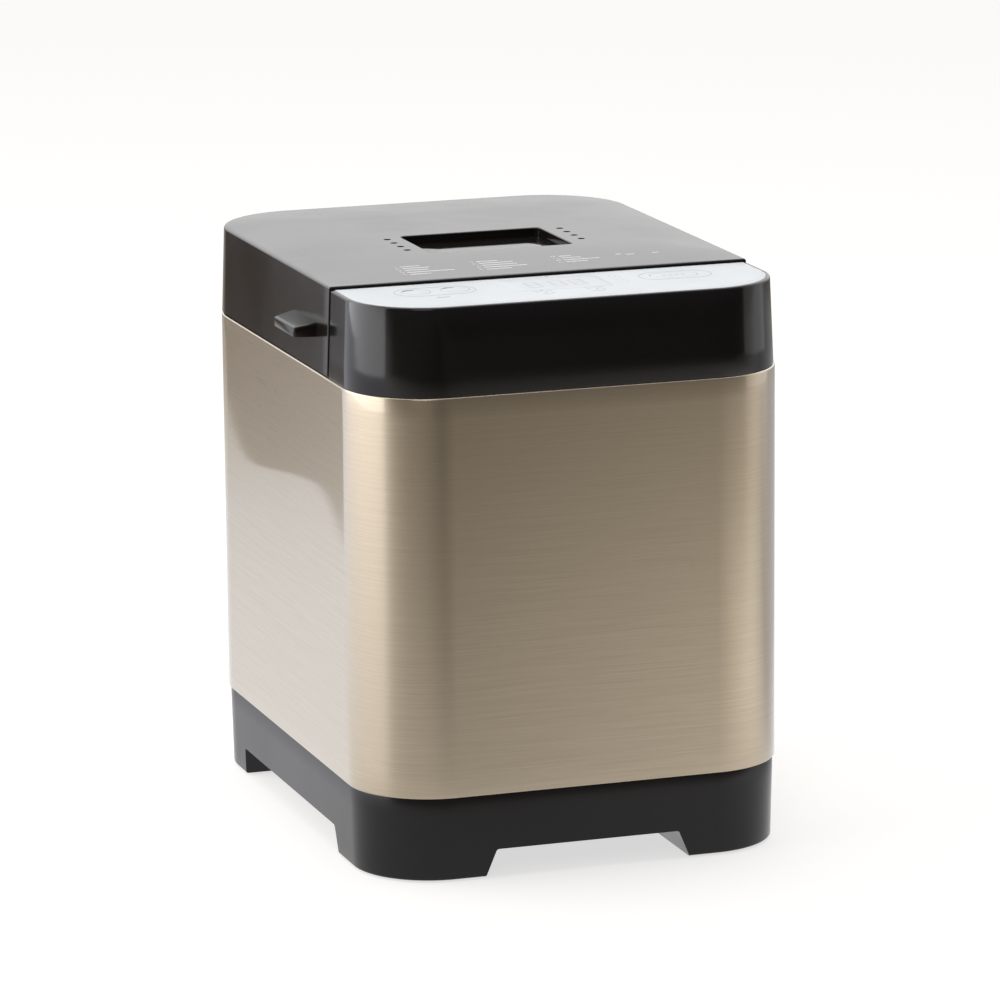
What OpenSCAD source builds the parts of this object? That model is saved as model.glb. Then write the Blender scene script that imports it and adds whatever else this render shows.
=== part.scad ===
/* [Case] */
// Width of the steel wrap, side to side
body_w = 236; // [226:1:260]
// Depth of the case, front to back
body_d = 315; // [308:1:340]
// Outside corner radius at the front
front_r = 45; // [36:1:50]
// Outside corner radius at the back
rear_r = 51; // [40:1:56]
// Height of the plastic base, floor to steel
base_h = 45.4; // [42:0.2:60]
// Height of the steel wrap
wrap_h = 212.1; // [200:0.1:240]
// Height of the lid and control head above the steel
head_h = 48.3; // [46:0.1:60]
// Depth of the control head, front of case to seam
head_d = 72.5; // [70:0.5:76]
// Gap between control head and lid
seam_gap = 1; // [0.9:0.1:2]
// Thickness of moulded plastic walls
wall = 2.5; // [2:0.1:3]
// Thickness of the steel wrap
steel_t = 0.6; // [0.4:0.1:1]
// Width of the turned-in edges of the steel wrap
hem_w = 4; // [3:0.5:5]
// How far the base stands in from the steel
base_inset = 1.1; // [0.5:0.1:2]
// How much the control head leans in from its foot to its top
head_draft = 1.8; // [0:0.1:3]

/* [Feet] */
// Width of the gap between the front feet, at its top
foot_gap_w = 101; // [80:1:120]
// Height of the gaps between the feet
foot_gap_h = 15.4; // [12:0.2:18]
// Length of the front feet, front to back
front_foot = 77.5; // [60:0.5:90]
// Length of the rear feet, front to back
rear_foot = 68; // [60:0.5:80]
// Flare of the feet sides at the floor
foot_flare = 6.5; // [0:0.5:8]
// Thickness of the foot soles
sole_t = 2.5; // [2:0.1:4]
// Diameter of the rubber pads
pad_d = 20; // [12:1:28]
// Thickness of the rubber pads
pad_t = 2.5; // [2:0.1:4]
// How far the pads stand out below the feet
pad_proud = 1; // [0.6:0.1:2]

/* [Lid] */
// Rise of the lid's crown above its rim
crown_h = 3; // [2:0.1:6]
// Width of the window recess
window_w = 80; // [60:1:86]
// Depth of the window recess, front to back
window_d = 57; // [40:1:60]
// Place of the window, forward or back of the middle of the case
window_y = 5; // [0:0.5:14]
// How far the glass lies below the lid's crown
window_drop = 5.5; // [5:0.5:10]
// Thickness of the window glass
glass_t = 3.8; // [3:0.1:4]
// Diameter of the steam vents
vent_d = 4; // [2:0.1:5]
// Distance between vents in a row
vent_pitch = 11.8; // [8:0.1:13]
// Distance of each row of vents from the middle
vent_x = 49.3; // [48:0.1:56]
// How far the lift lugs stand out
lug_out = 11.3; // [8:0.1:16]
// Length of the lift lugs
lug_len = 40; // [30:1:60]
// Height of the lift lugs
lug_h = 8; // [6:0.5:12]
// Distance of each hinge lug from the middle
hinge_x = 40; // [32:1:50]
// Diameter of the hinge pins
hinge_pin_d = 4; // [3:0.5:5]
// Height of the hinge axis above the lid's lower edge
hinge_up = 18; // [16:0.5:19]
// Half the width of the hinge block, front to back
hinge_r = 6.8; // [6:0.1:6.8]

/* [Control panel] */
// Margin of black around the white panel
panel_margin = 4.5; // [4:0.1:6]
// Thickness of the white panel
panel_t = 1; // [0.6:0.1:1.2]
// Width of the display window
display_w = 53; // [40:1:60]
// Depth of the display window
display_d = 34; // [26:1:36]
// Diameter of the two time keys
time_key_d = 15; // [10:0.5:16]
// Width of the start key
start_key_w = 26; // [18:1:30]
// Depth of the start key
start_key_d = 14; // [10:0.5:16]
// Diameter of the two small keys
small_key_d = 9; // [7:0.5:12]
// How far each key travels
key_travel = 0.8; // [0.3:0.1:0.8]

/* [Baking chamber] */
// Room between each side of the case and the chamber
side_room = 28; // [23:0.5:29]
// Room between the middle of the motor and the chamber
motor_room = 47; // [45:0.5:49]
// Room between the back of the case and the chamber, for the hinge
rear_room = 47.5; // [46:0.5:49]
// Corner radius inside the chamber
chamber_r = 22; // [16:1:28]
// Thickness of the chamber sheet
sheet_t = 0.8; // [0.6:0.1:1]
// Diameter of the heating element
heater_d = 6.6; // [5:0.1:7]

/* [Bread pan] */
// Room between each side of the pan's mouth and the chamber
pan_side_room = 20; // [19:0.5:26]
// Room between the pan's mouth and the chamber, at the front and back
pan_end_room = 13; // [12:0.5:18]
// Height of the pan
pan_h = 140; // [110:1:140]
// Thickness of the pan
pan_t = 1.5; // [1:0.1:2]
// How much each side leans in towards the bottom
pan_taper = 4; // [1:0.5:8]
// Corner radius of the pan
pan_r = 22; // [14:1:30]
// Length of the handle, pivot to crossbar
bail_reach = 48; // [36:1:48]
// Diameter of the handle's wire
wire_d = 4.5; // [3:0.1:5]
// Radius swept by the kneading paddle
paddle_reach = 38; // [28:1:48]

/* [Drive] */
// Diameter of the output shaft
shaft_d = 10; // [8:0.5:11]
// Radius at which the belt runs on the large pulley
large_r = 46; // [36:0.5:60]
// Radius at which the belt runs on the small pulley
small_r = 8; // [6:0.5:12]
// Width of the belt
belt_w = 8; // [5:0.5:10]
// Thickness of the belt
belt_t = 2; // [1.5:0.1:2.4]
// Distance from the front of the case to the motor shaft
motor_back = 40.5; // [39:0.5:42]
// Diameter of the motor shaft
motor_shaft_d = 6; // [5:0.5:8]
// Diameter of the pan spindle
spindle_d = 8; // [6:0.5:10]

/* [Hidden] */
$fn = 64;
// $fn of the children of a hull
hull_fn = 48;
// How far a cut runs past the face that it opens
past = 1;
// Gap left between a piece and the piece that it fits into
fit = 0.3;
// Radial clearance of a shaft or pin in its bore
run = 0.05;

// Heights of the main levels
wrap_top = base_h + wrap_h;
rim_z = wrap_top + head_h;
crown_z = rim_z + crown_h;
case_front = -body_d / 2;
case_rear = body_d / 2;
seam_y = case_front + head_d;
chamber_w = body_w - 2 * side_room;
chamber_d = body_d - motor_back - motor_room - rear_room;
chamber_y = case_rear - rear_room - chamber_d / 2;
pan_w = chamber_w - 2 * pan_side_room;
pan_d = chamber_d - 2 * pan_end_room;
head_rear = seam_y - seam_gap / 2;
lid_front = seam_y + seam_gap / 2;

// Base
tray_bottom = foot_gap_h + 0.6;
tray_top = tray_bottom + wall;
lip_inset = hem_w + steel_t + fit;
lip_h = 6;
foot_wall_inset = base_inset + wall;
pad_x = body_w / 2 - 33;
pad_front_y = case_front + 36;
pad_rear_y = case_rear - 37;
pad_seat = pad_t - pad_proud;
floor_slots = 7;
floor_slot = [3, 36];
floor_slot_pitch = 8;

// Uprights between the chassis plate and the top frame
upright_w = 20;
upright_gap = 8;
upright_x = chamber_w / 2 + upright_gap;
upright_in = 24;
upright_back = 18;
upright_y = [chamber_y - chamber_d / 2 + upright_in, chamber_y + upright_back];
upright_foot = 8;

// Bosses that carry the chassis plate: x, y, and whether each stands on a foot's sole
chassis_z = 58;
plate_t = 1.2;
chassis_top = chassis_z + plate_t;
boss_front_y = case_front + 29;
boss_past_upright = 26;
boss_mid_y = upright_y[0] + boss_past_upright;
boss_rear_y = chamber_y + 60;
boss_side_x = body_w / 2 - 18;
boss_front_x = body_w / 2 - 38;
boss_r = 4.5;
screw_r = 1.5;
screw_head_r = 3;
screw_head_t = 2;
screw_grip = 12;

// Rear vents of the wrap
wrap_slots = 13;
wrap_slot_w = 3.2;
wrap_slot_h = 26;
wrap_slot_pitch = 8.5;
wrap_slot_z = base_h + 30;

// Top frame
deck_t = 3;
deck_top = wrap_top - 2;
deck_bottom = deck_top - deck_t;
deck_inset = steel_t + fit;
deck_skirt = 8;
head_boss_side = [body_w / 2 - 14, case_front + 61.5];
head_boss_front = [45, case_front + 9.5];
head_boss_r = 4;
deck_port = [170, 38];
deck_port_back = 39;
deck_port_y = case_front + deck_port_back;

// Hinge
hinge_z = wrap_top + 0.5 + hinge_up;
hinge_back = 8.5;
hinge_y = case_rear - hinge_back;
block_w = 140;
lug_w = 7;
lug_side_gap = 1;
hinge_lug_r = hinge_r - 0.5;
hinge_pin_in = 12;
notch_top = hinge_z + hinge_r + 0.6;

// Control head
head_inset = 0.7;
panel_z = rim_z - 1.5;
head_edge = 1.4;
panel_floor = panel_z - panel_t;
head_ceiling = panel_floor - 2.3;
panel_rear = head_rear - 1;
display_y = case_front + 47.5;
display_ledge = 2;
time_key_x = 52.8 - body_w / 2;
time_key_pitch = 21.5;
time_key_y = case_front + 50;
start_key_x = body_w / 2 - 52.4;
start_key_y = case_front + 48.5;
small_key_x = 14;
small_key_y = case_front + 23.5;
key_proud = 0.3;
key_gap = 0.25;
key_flange = 1.2;
key_flange_t = 1;
key_play = 0.2;
key_stem_r = 2.5;
switch_w = 6;
switch_h = 4.3;
switch_cap = 0.9;
switch_button_r = 1.75;
board_screw_head_r = 2.2;
board_screw_head_t = 1.5;
board_screw_r = 1;
board_screw_grip = 5;
key_over_switch = 1;
key_stem_end = head_ceiling - key_play - key_flange_t - 2.5;
board_top = key_stem_end - key_over_switch - switch_h;
board_t = 1.6;
board_w = body_w - 52;
board_front = case_front + 15.5;
board_rear = head_rear - 6;
board_screw_rear = [board_w / 2 - 4, board_rear - 6];
board_screw_front = [board_w / 2 - 8, board_front + 6];
board_boss_r = 3;
module_w = display_w + 6;
module_d = display_d - 1;

// Lid
lid_gap = 0.5;
lid_bottom = wrap_top + lid_gap;
lid_inset = 0.2;
lid_relief = 2;
lid_relief_y = hinge_y - 8;
rim_round = 1.5;
crown_mid = 38;
crown_flat = 62;
glass_top = crown_z - window_drop;
glass_bottom = glass_top - glass_t;
gasket_t = 5.7;
vent_y = window_y + 3;
liner_top = glass_bottom - gasket_t;
liner_bottom = liner_top - sheet_t;
liner_ring_z = lid_bottom + 1;
liner_inset = lid_inset + wall + fit;
liner_rear = hinge_y - hinge_r - 3.5;
liner_w = chamber_w - 4;
liner_d = chamber_d - 4;
liner_r = chamber_r - 2;
glass_lap = 3;
lid_boss_x = body_w / 2 - 15;
lid_boss_back = 18;
lid_boss_y = [lid_front + 12.5, chamber_y + 8, chamber_y + chamber_d / 2 + lid_boss_back];
lid_boss_r = 3.5;
lift_y = lid_front + 21.5;
lift_top = rim_z - 22.3;
lift_wall = 2;

// Chamber, seen from above centred on the drive
chamber_floor = 76;
chamber_floor_top = chamber_floor + sheet_t;
chamber_top = deck_top + sheet_t;
flange_w = 7;
seal_w = 5;
spacer_in = 30;
spacer_r = 5;
heater_z = 112;
heater_x = chamber_w / 2 - 12;
heater_y = chamber_d / 2 - 8;
heater_bend = 20;
heater_lead_x = 30;
heater_lead_bend = 6;
heater_lead_end = chamber_d / 2 + 11;
bush_r = 4.9;
shield_gap = 4.4;
shield_y = chamber_y - chamber_d / 2 - sheet_t - shield_gap;
shield_h = 185;
shield_lip = 8;
sensor_z = 130;
sensor_y = chamber_y + 40;
sensor_r = 3;
sensor_reach = 15;
fuse_plate = [1, 22, 16];
fuse_r = 2.4;
fuse_len = 18;
fuse_out = 3.2;

// Pan seat, pan and what turns in it
seat_t = 2;
seat_h = 13;
seat_wall = 3;
collar_r = 28;
collar_t = 3;
neck_r = 11;
collar_z = chamber_floor_top + seat_t + fit;
pan_z = 98;
pan_top = pan_z + pan_h;
rim_w = 3;
rim_t = 1.5;
ear_w = 16;
ear_t = 1.5;
ear_len = 24;
ear_head = 8;
bail_z = pan_top + wire_d / 2 + fit;
ear_x = pan_w / 2 + fit / 2;
bail_x = pan_w / 2 + rim_w + wire_d / 2 + fit + 0.2;
bail_bend = 10;
wing_z = 87;
wing_h = 5;
wing_w = 6;
wing_len = 30;
bush_z = 94;
bush_top = 104;
dog_r = 16.5;
dog_z = 80.5;
dog_block = 6;
dog_x = 10.5;
paddle_z = pan_z + pan_t + 1.5;
paddle_hub_z = bush_top + 1.6;
paddle_h = 22;
paddle_t = 5;
paddle_wall = 5;
paddle_lap = 2;
paddle_heel = [4, 7];
paddle_toe_h = 8;
paddle_brow = [10, 20];

// Belt drive
belt_z = 30;
pulley_flange = 3;
pulley_rim_t = 1.5;
pulley_bottom = belt_z - 0.5 - pulley_rim_t;
pulley_top = belt_z + belt_w + 0.5 + pulley_rim_t;
belt_gap = 0.2;
motor_y = case_front + motor_back;
bearing_bottom = 50;
bearing_top = 80;
bush_len = 10;
bush_wall = 3;

// Motor
mount_h = 4.8;
motor_foot_z = chassis_top + mount_h;
motor_foot = [84, 66, 2];
bell_h = 12;
bell_r = 27;
stack = [72, 60, 32];
bore_r = 20.5;
rotor_gap = 0.5;
motor_plate_z = motor_foot_z + motor_foot[2];
stack_z = motor_plate_z + bell_h;
bell_top = stack_z + stack[2] + bell_h;
fan_r = 28;
fan_z = bell_top + 2;
fan_h = 8;
fan_blades = 8;
mount_x = 36;
mount_dy = 26;
mount_r = 4.5;

// Electrical parts
cap_r = 15;
cap_h = 46;
cap_tag = [0.8, 6, 8];
cap_tag_x = 5;
cap_x = body_w / 2 - 52;
cap_y = case_front + 45.5;
power_w = 52;
power_d = 46;
power_x = 44 - body_w / 2;
power_y = case_front + 42;
power_z = 72;
power_edge = 8;
filter_choke = [20, 24, 17];
filter_choke_in = 6;
relay = [12, 20, 15];
relay_x = 6;
store_can_r = 5;
store_can_h = 13;
store_can_at = [4, 14];
power_post_r = 2.5;
power_post_in = [5, 4];
gland_x = 45;
gland_z = (tray_top + base_h - wall) / 2;
gland_lip = 1.2;
gland_r = 9;
cord_r = 3.8;

// Outline of the case from above, moved in by inset
module outline(inset) {
    w = body_w / 2 - inset;
    f = front_r - inset;
    r = rear_r - inset;
    front = case_front + inset;
    rear = case_rear - inset;
    translate([-w, front + f]) square([2 * w, rear - front - f - r]);
    translate([-w + f, front]) square([2 * (w - f), rear - front - r]);
    translate([-w + r, front + f]) square([2 * (w - r), rear - front - f]);
    for (side = [-1, 1]) {
        translate([side * (w - f), front + f]) circle(r = f);
        translate([side * (w - r), rear - r]) circle(r = r);
    }
}

// The outline in front of a line, and behind one
module front_part(inset, line) {
    intersection() {
        outline(inset);
        translate([-body_w, case_front - past]) square([2 * body_w, line - case_front + past]);
    }
}
module rear_part(inset, line, end = case_rear + past) {
    intersection() {
        outline(inset);
        translate([-body_w, line]) square([2 * body_w, end - line]);
    }
}

// A rectangle with round corners, centred on the chamber or elsewhere
module round_rect(w, d, r) {
    square([w - 2 * r, d], center = true);
    square([w, d - 2 * r], center = true);
    for (x = [-1, 1]) {
        for (y = [-1, 1]) translate([x * (w / 2 - r), y * (d / 2 - r)]) circle(r = r);
    }
}
module on_chamber(z = 0) {
    translate([0, chamber_y, z]) children();
}
module both_sides(x) {
    for (side = [-1, 1]) translate([side * x, 0, 0]) children();
}
module along_x(length) {
    rotate([0, 90, 0]) linear_extrude(length, center = true) children();
}
// A screw with its head under z and its shank above it
module screw_up(grip = screw_grip) {
    translate([0, 0, -screw_head_t]) cylinder(r = screw_head_r, h = screw_head_t);
    cylinder(r = screw_r, h = grip);
}
module chassis_bosses() {
    for (side = [-1, 1]) {
        translate([side * boss_front_x, boss_front_y]) children();
        translate([side * boss_side_x, boss_mid_y]) children();
        translate([side * boss_side_x, boss_rear_y]) children();
    }
}
module head_bosses() {
    for (side = [-1, 1]) {
        translate([side * head_boss_side[0], head_boss_side[1]]) children();
        translate([side * head_boss_front[0], head_boss_front[1]]) children();
    }
}
module board_bosses() {
    for (side = [-1, 1]) {
        translate([side * board_screw_rear[0], board_screw_rear[1]]) children();
        translate([side * board_screw_front[0], board_screw_front[1]]) children();
    }
}
module lid_bosses() {
    for (side = [-1, 1]) {
        for (y = lid_boss_y) translate([side * lid_boss_x, y]) children();
    }
}
module motor_bosses() {
    for (x = [-mount_x, mount_x]) {
        for (y = [-mount_dy, mount_dy]) translate([x, motor_y + y]) children();
    }
}
module vents() {
    for (side = [-1, 1]) {
        for (i = [-1.5:1:1.5]) translate([side * vent_x, vent_y + i * vent_pitch]) children();
    }
}

// One foot's share of the outline, inside its walls
module foot_inside(side, front) {
    edge_x = foot_gap_w / 2 + foot_flare + wall;
    edge_y = front ? case_front + front_foot - foot_flare - wall : case_rear - rear_foot + wall;
    intersection() {
        outline(foot_wall_inset);
        translate([side > 0 ? edge_x : -body_w / 2, front ? case_front : edge_y])
            square([body_w / 2 - edge_x, front ? edge_y - case_front : case_rear - edge_y]);
    }
}
module pads() {
    for (side = [-1, 1]) {
        translate([side * pad_x, pad_front_y]) children();
        translate([side * pad_x, pad_rear_y]) children();
    }
}

// Black moulded base with four hollow feet, a tray floor and bosses for the chassis
module base_shell() {
    shelf = wall;
    color("#232021") difference() {
        union() {
            difference() {
                union() {
                    translate([0, 0, pad_proud]) linear_extrude(base_h - pad_proud) outline(base_inset);
                    linear_extrude(base_h + lip_h) outline(lip_inset);
                }
                translate([0, 0, tray_top]) linear_extrude(base_h - shelf - tray_top)
                    outline(foot_wall_inset);
                translate([0, 0, tray_top]) linear_extrude(base_h + lip_h) outline(lip_inset + wall);
                translate([0, 0, -past]) linear_extrude(past + pad_proud) outline(0);
                for (side = [-1, 1]) {
                    for (front = [true, false]) {
                        translate([0, 0, pad_proud + sole_t]) linear_extrude(tray_top)
                            foot_inside(side, front);
                    }
                }
            }
            for (side = [-1, 1]) {
                translate([side * boss_front_x, boss_front_y, pad_proud])
                    cylinder(r = boss_r, h = chassis_z - pad_proud);
                for (y = [boss_mid_y, boss_rear_y]) {
                    translate([side * boss_side_x, y, tray_bottom])
                        cylinder(r = boss_r, h = chassis_z - tray_bottom);
                }
            }
        }
        // gap between the left and right feet
        rotate([90, 0, 0]) linear_extrude(2 * body_d, center = true) polygon([
            [-foot_gap_w / 2 - foot_flare, -past], [foot_gap_w / 2 + foot_flare, -past],
            [foot_gap_w / 2, foot_gap_h], [-foot_gap_w / 2, foot_gap_h]
        ]);
        // gap between the front and rear feet
        rotate([90, 0, 90]) linear_extrude(2 * body_w, center = true) polygon([
            [case_front + front_foot - foot_flare, -past], [case_rear - rear_foot, -past],
            [case_rear - rear_foot, foot_gap_h], [case_front + front_foot, foot_gap_h]
        ]);
        pads() translate([0, 0, -past]) cylinder(r = pad_d / 2 + fit, h = past + pad_proud + pad_seat);
        translate([0, 0, chassis_z - screw_grip]) chassis_bosses() cylinder(r = screw_r, h = 2 * screw_grip);
        translate([gland_x, case_rear, gland_z]) rotate([90, 0, 0])
            cylinder(r = gland_r, h = 2 * wall + base_inset);
        for (i = [-(floor_slots - 1) / 2:1:(floor_slots - 1) / 2]) {
            translate([i * floor_slot_pitch, motor_y, tray_bottom + wall / 2])
                cube([floor_slot[0], floor_slot[1], wall + 2 * past], center = true);
        }
    }
}

// Four rubber pads let into the foot soles
module foot_pads() {
    color("#2b2b2b") pads() cylinder(d = pad_d, h = pad_t);
}

// Brushed steel skin with its edges turned in at top and bottom, and cooling slots at the back
module steel_wrap() {
    color("#b8ab8f") difference() {
        translate([0, 0, base_h]) linear_extrude(wrap_h) outline(0);
        translate([0, 0, base_h + steel_t]) linear_extrude(wrap_h - 2 * steel_t) outline(steel_t);
        translate([0, 0, base_h - past]) linear_extrude(wrap_h + 2 * past) outline(hem_w + steel_t);
        // the top hem stops either side of the hinge block
        translate([-block_w / 2 - past, case_rear - 3 * hem_w, wrap_top - 2 * steel_t])
            cube([block_w + 2 * past, 3 * hem_w - steel_t, 4 * steel_t]);
        for (i = [-(wrap_slots - 1) / 2:1:(wrap_slots - 1) / 2]) {
            translate([i * wrap_slot_pitch, case_rear, wrap_slot_z]) rotate([90, 0, 0])
                linear_extrude(4 * steel_t, center = true)
                    round_rect(wrap_slot_w, wrap_slot_h, wrap_slot_w / 2 - 0.01);
        }
    }
}

// The fixed half of the hinge: a block across the back with gaps for the lid's two lugs
module hinge_block() {
    difference() {
        translate([0, hinge_y, hinge_z]) along_x(block_w) {
            circle(r = hinge_r);
            translate([0, -hinge_r]) square([hinge_z - deck_bottom, 2 * hinge_r]);
        }
        both_sides(hinge_x) translate([-lug_w / 2 - lug_side_gap, hinge_y - 2 * hinge_r, deck_top])
            cube([lug_w + 2 * lug_side_gap, 4 * hinge_r, hinge_z]);
        for (side = [-1, 1]) {
            translate([side * (block_w + hinge_x - hinge_pin_in) / 2, hinge_y, hinge_z])
                along_x(block_w - hinge_x + hinge_pin_in) circle(r = hinge_pin_d / 2 + run);
        }
    }
}

// Black plastic frame under the lid, around the mouth of the chamber
module top_frame() {
    mouth = sheet_t + fit;
    color("#1f1d1e") {
        difference() {
            union() {
                translate([0, 0, deck_bottom]) linear_extrude(deck_t) outline(deck_inset);
                translate([0, 0, deck_bottom - deck_skirt])
                    linear_extrude(wrap_top - steel_t - deck_bottom + deck_skirt) difference() {
                        outline(deck_inset);
                        outline(hem_w + steel_t);
                    }
            }
            on_chamber(deck_bottom - past) linear_extrude(deck_t + 2 * past)
                round_rect(chamber_w + 2 * mouth, chamber_d + 2 * mouth, chamber_r + mouth);
            translate([0, deck_port_y, deck_bottom - past]) linear_extrude(deck_t + 2 * past)
                round_rect(deck_port[0], deck_port[1], 6);
            translate([0, 0, deck_bottom - past]) head_bosses()
                cylinder(r = screw_r + 0.1, h = deck_t + 2 * past);
        }
        hinge_block();
    }
}

// Four sheet steel uprights that hold the top frame on the chassis
module uprights() {
    height = deck_bottom - chassis_top;
    color("#a9abad") for (side = [-1, 1]) {
        for (y = upright_y) {
            translate([side * upright_x, y, chassis_top]) {
                translate([-plate_t / 2, -upright_w / 2, 0]) cube([plate_t, upright_w, height]);
                for (z = [0, height - plate_t]) {
                    translate([side > 0 ? 0 : -upright_foot, -upright_w / 2, z])
                        cube([upright_foot, upright_w, plate_t]);
                }
            }
        }
    }
}

// Steel plate that carries the chamber, bearing and motor
module chassis_plate() {
    rear = boss_rear_y + 12;
    color("#b4b6b8") difference() {
        translate([0, 0, chassis_z]) linear_extrude(plate_t) intersection() {
            outline(hem_w + steel_t + wall + 2 * fit);
            translate([-body_w / 2, case_front]) square([body_w, rear - case_front]);
        }
        on_chamber(chassis_z - past) cylinder(r = neck_r + fit, h = 3 * past + plate_t);
        translate([0, motor_y, chassis_z - past]) cylinder(r = 14, h = 3 * past + plate_t);
        translate([0, 0, chassis_z - past]) {
            chassis_bosses() cylinder(r = screw_r + 0.1, h = 3 * past + plate_t);
            motor_bosses() cylinder(r = screw_r + 0.1, h = 3 * past + plate_t);
        }
    }
}

module chassis_screws() {
    color("#8f9194") translate([0, 0, chassis_top]) chassis_bosses() mirror([0, 0, 1]) screw_up();
}

// The leaning solid of the control head: foot, top and a small edge at the top
module head_solid(inset, line, low, high, edge) {
    hull() {
        translate([0, 0, low]) linear_extrude(0.01) front_part(inset, line, $fn = hull_fn);
        translate([0, 0, high - edge]) linear_extrude(0.01)
            front_part(inset + head_draft, line, $fn = hull_fn);
        translate([0, 0, high - 0.01]) linear_extrude(0.01)
            front_part(inset + head_draft + edge, line - edge / 2, $fn = hull_fn);
    }
}
module pill(w, d) {
    round_rect(w, d, d / 2 - 0.01);
}
module key_shapes(grow = 0) {
    for (side = [-1, 1]) {
        translate([time_key_x + side * time_key_pitch / 2, time_key_y]) circle(d = time_key_d + 2 * grow);
        translate([side * small_key_x, small_key_y]) circle(d = small_key_d + 2 * grow);
    }
    translate([start_key_x, start_key_y]) pill(start_key_w + 2 * grow, start_key_d + 2 * grow);
}

// Black housing of the controls, fixed in front of the lid
module control_housing() {
    color("#161314") difference() {
        union() {
            difference() {
                head_solid(head_inset, head_rear, wrap_top, panel_z, head_edge);
                head_solid(head_inset + wall, head_rear - wall, wrap_top - past, head_ceiling, 0.5);
            }
            translate([0, 0, deck_top]) head_bosses()
                cylinder(r = head_boss_r, h = head_ceiling - deck_top + 1);
            translate([0, 0, board_top]) board_bosses()
                cylinder(r = board_boss_r, h = head_ceiling - board_top + 1);
        }
        translate([0, 0, panel_floor]) linear_extrude(2 * panel_t) front_part(panel_margin, panel_rear);
        translate([0, 0, head_ceiling - past]) linear_extrude(2 * wall) key_shapes(key_gap);
        translate([0, display_y, head_ceiling - past]) linear_extrude(2 * wall)
            square([display_w - 2 * display_ledge, display_d - 2 * display_ledge], center = true);
        translate([0, 0, deck_top - past]) head_bosses() cylinder(r = screw_r, h = screw_grip + past);
        translate([0, 0, board_top - past]) board_bosses() cylinder(r = 1, h = 6 + past);
    }
}

module housing_screws() {
    color("#8f9194") translate([0, 0, deck_bottom]) head_bosses() screw_up();
}

// White panel let into the top of the housing
module control_panel() {
    color("#eceff2") translate([0, 0, panel_floor]) linear_extrude(panel_t) difference() {
        front_part(panel_margin + fit / 2, panel_rear - fit / 2);
        key_shapes(key_gap);
        translate([0, display_y]) square([display_w + fit, display_d + fit], center = true);
    }
}
module display_window() {
    color("#cfd3d6") translate([0, display_y, panel_floor]) linear_extrude(panel_t)
        square([display_w, display_d], center = true);
}
module display_module() {
    color("#7f8a80") translate([0, display_y, board_top]) linear_extrude(head_ceiling - fit - board_top)
        square([module_w, module_d], center = true);
}

// Circuit board of the controls with a switch under each key
module control_board() {
    color("#2f6b3d") difference() {
        union() {
            translate([-board_w / 2, board_front, board_top - board_t])
                cube([board_w, board_rear - board_front, board_t]);
            translate([0, 0, board_top]) {
                for (side = [-1, 1]) {
                    translate([time_key_x + side * time_key_pitch / 2, time_key_y]) tact_switch();
                    translate([side * small_key_x, small_key_y]) tact_switch();
                }
                translate([start_key_x, start_key_y]) tact_switch();
            }
        }
        translate([0, 0, board_top - 2 * board_t]) board_bosses() cylinder(r = 1.2, h = 3 * board_t);
    }
}
module tact_switch() {
    translate([-switch_w / 2, -switch_w / 2, -0.1]) cube([switch_w, switch_w, switch_h - switch_cap]);
    cylinder(r = switch_button_r, h = switch_h);
}
module board_screws() {
    color("#8f9194") translate([0, 0, board_top - board_t]) board_bosses() {
        translate([0, 0, -board_screw_head_t]) cylinder(r = board_screw_head_r, h = board_screw_head_t);
        cylinder(r = board_screw_r, h = board_t + board_screw_grip);
    }
}

// A key: its cap, the flange that keeps it in the housing, and its stem
module key_cap(x, y) {
    color("#e4e8ec") translate([x, y, 0]) {
        translate([0, 0, head_ceiling - key_play - 0.01])
            linear_extrude(panel_z + key_proud - head_ceiling + key_play + 0.01) children(0);
        translate([0, 0, head_ceiling - key_play - key_flange_t]) linear_extrude(key_flange_t) children(1);
        translate([0, 0, key_stem_end]) cylinder(r = key_stem_r, h = 3);
    }
}
module round_key(x, y, d) {
    key_cap(x, y) {
        circle(d = d);
        circle(d = d + 2 * key_flange);
    }
}
module key_time_up() {
    round_key(time_key_x + time_key_pitch / 2, time_key_y, time_key_d);
}
module key_time_down() {
    round_key(time_key_x - time_key_pitch / 2, time_key_y, time_key_d);
}
module key_menu() {
    round_key(-small_key_x, small_key_y, small_key_d);
}
module key_crust() {
    round_key(small_key_x, small_key_y, small_key_d);
}
module key_start() {
    key_cap(start_key_x, start_key_y) {
        pill(start_key_w, start_key_d);
        pill(start_key_w + 2 * key_flange, start_key_d + 2 * key_flange);
    }
}

// Crowned top of the lid, as a stack of outlines that draw in towards the middle
module crown(inset, rim, rise) {
    front = lid_front + inset - lid_inset;
    hull() {
        for (z = [rim - 3 * rim_round, rim - rim_round]) {
            translate([0, 0, z]) linear_extrude(0.01) rear_part(inset, front, $fn = hull_fn);
        }
        translate([0, 0, rim]) linear_extrude(0.01)
            rear_part(inset + rim_round, front + rim_round / 2, $fn = hull_fn);
        translate([0, 0, rim + 0.75 * rise]) linear_extrude(0.01)
            rear_part(crown_mid, lid_front + crown_mid, case_rear - crown_mid, $fn = hull_fn);
        translate([0, 0, rim + rise - 0.01]) linear_extrude(0.01)
            rear_part(crown_flat, lid_front + crown_flat, case_rear - crown_flat, $fn = hull_fn);
    }
}
module lift_lug() {
    taper = 3;
    difference() {
        translate([0, lift_y, lift_top - lug_h]) linear_extrude(lug_h) polygon([
            [-wall, 0], [lug_out - 1, 0], [lug_out, 1], [lug_out, lug_len - taper],
            [0, lug_len], [-wall, lug_len]
        ]);
        translate([0, lift_y, lift_top - lug_h - past]) linear_extrude(lug_h - lift_wall + past) polygon([
            [-lid_inset, lift_wall], [lug_out - lift_wall, lift_wall],
            [lug_out - lift_wall, lug_len - taper - lift_wall], [-lid_inset, lug_len - lift_wall - 1]
        ]);
    }
}

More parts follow.
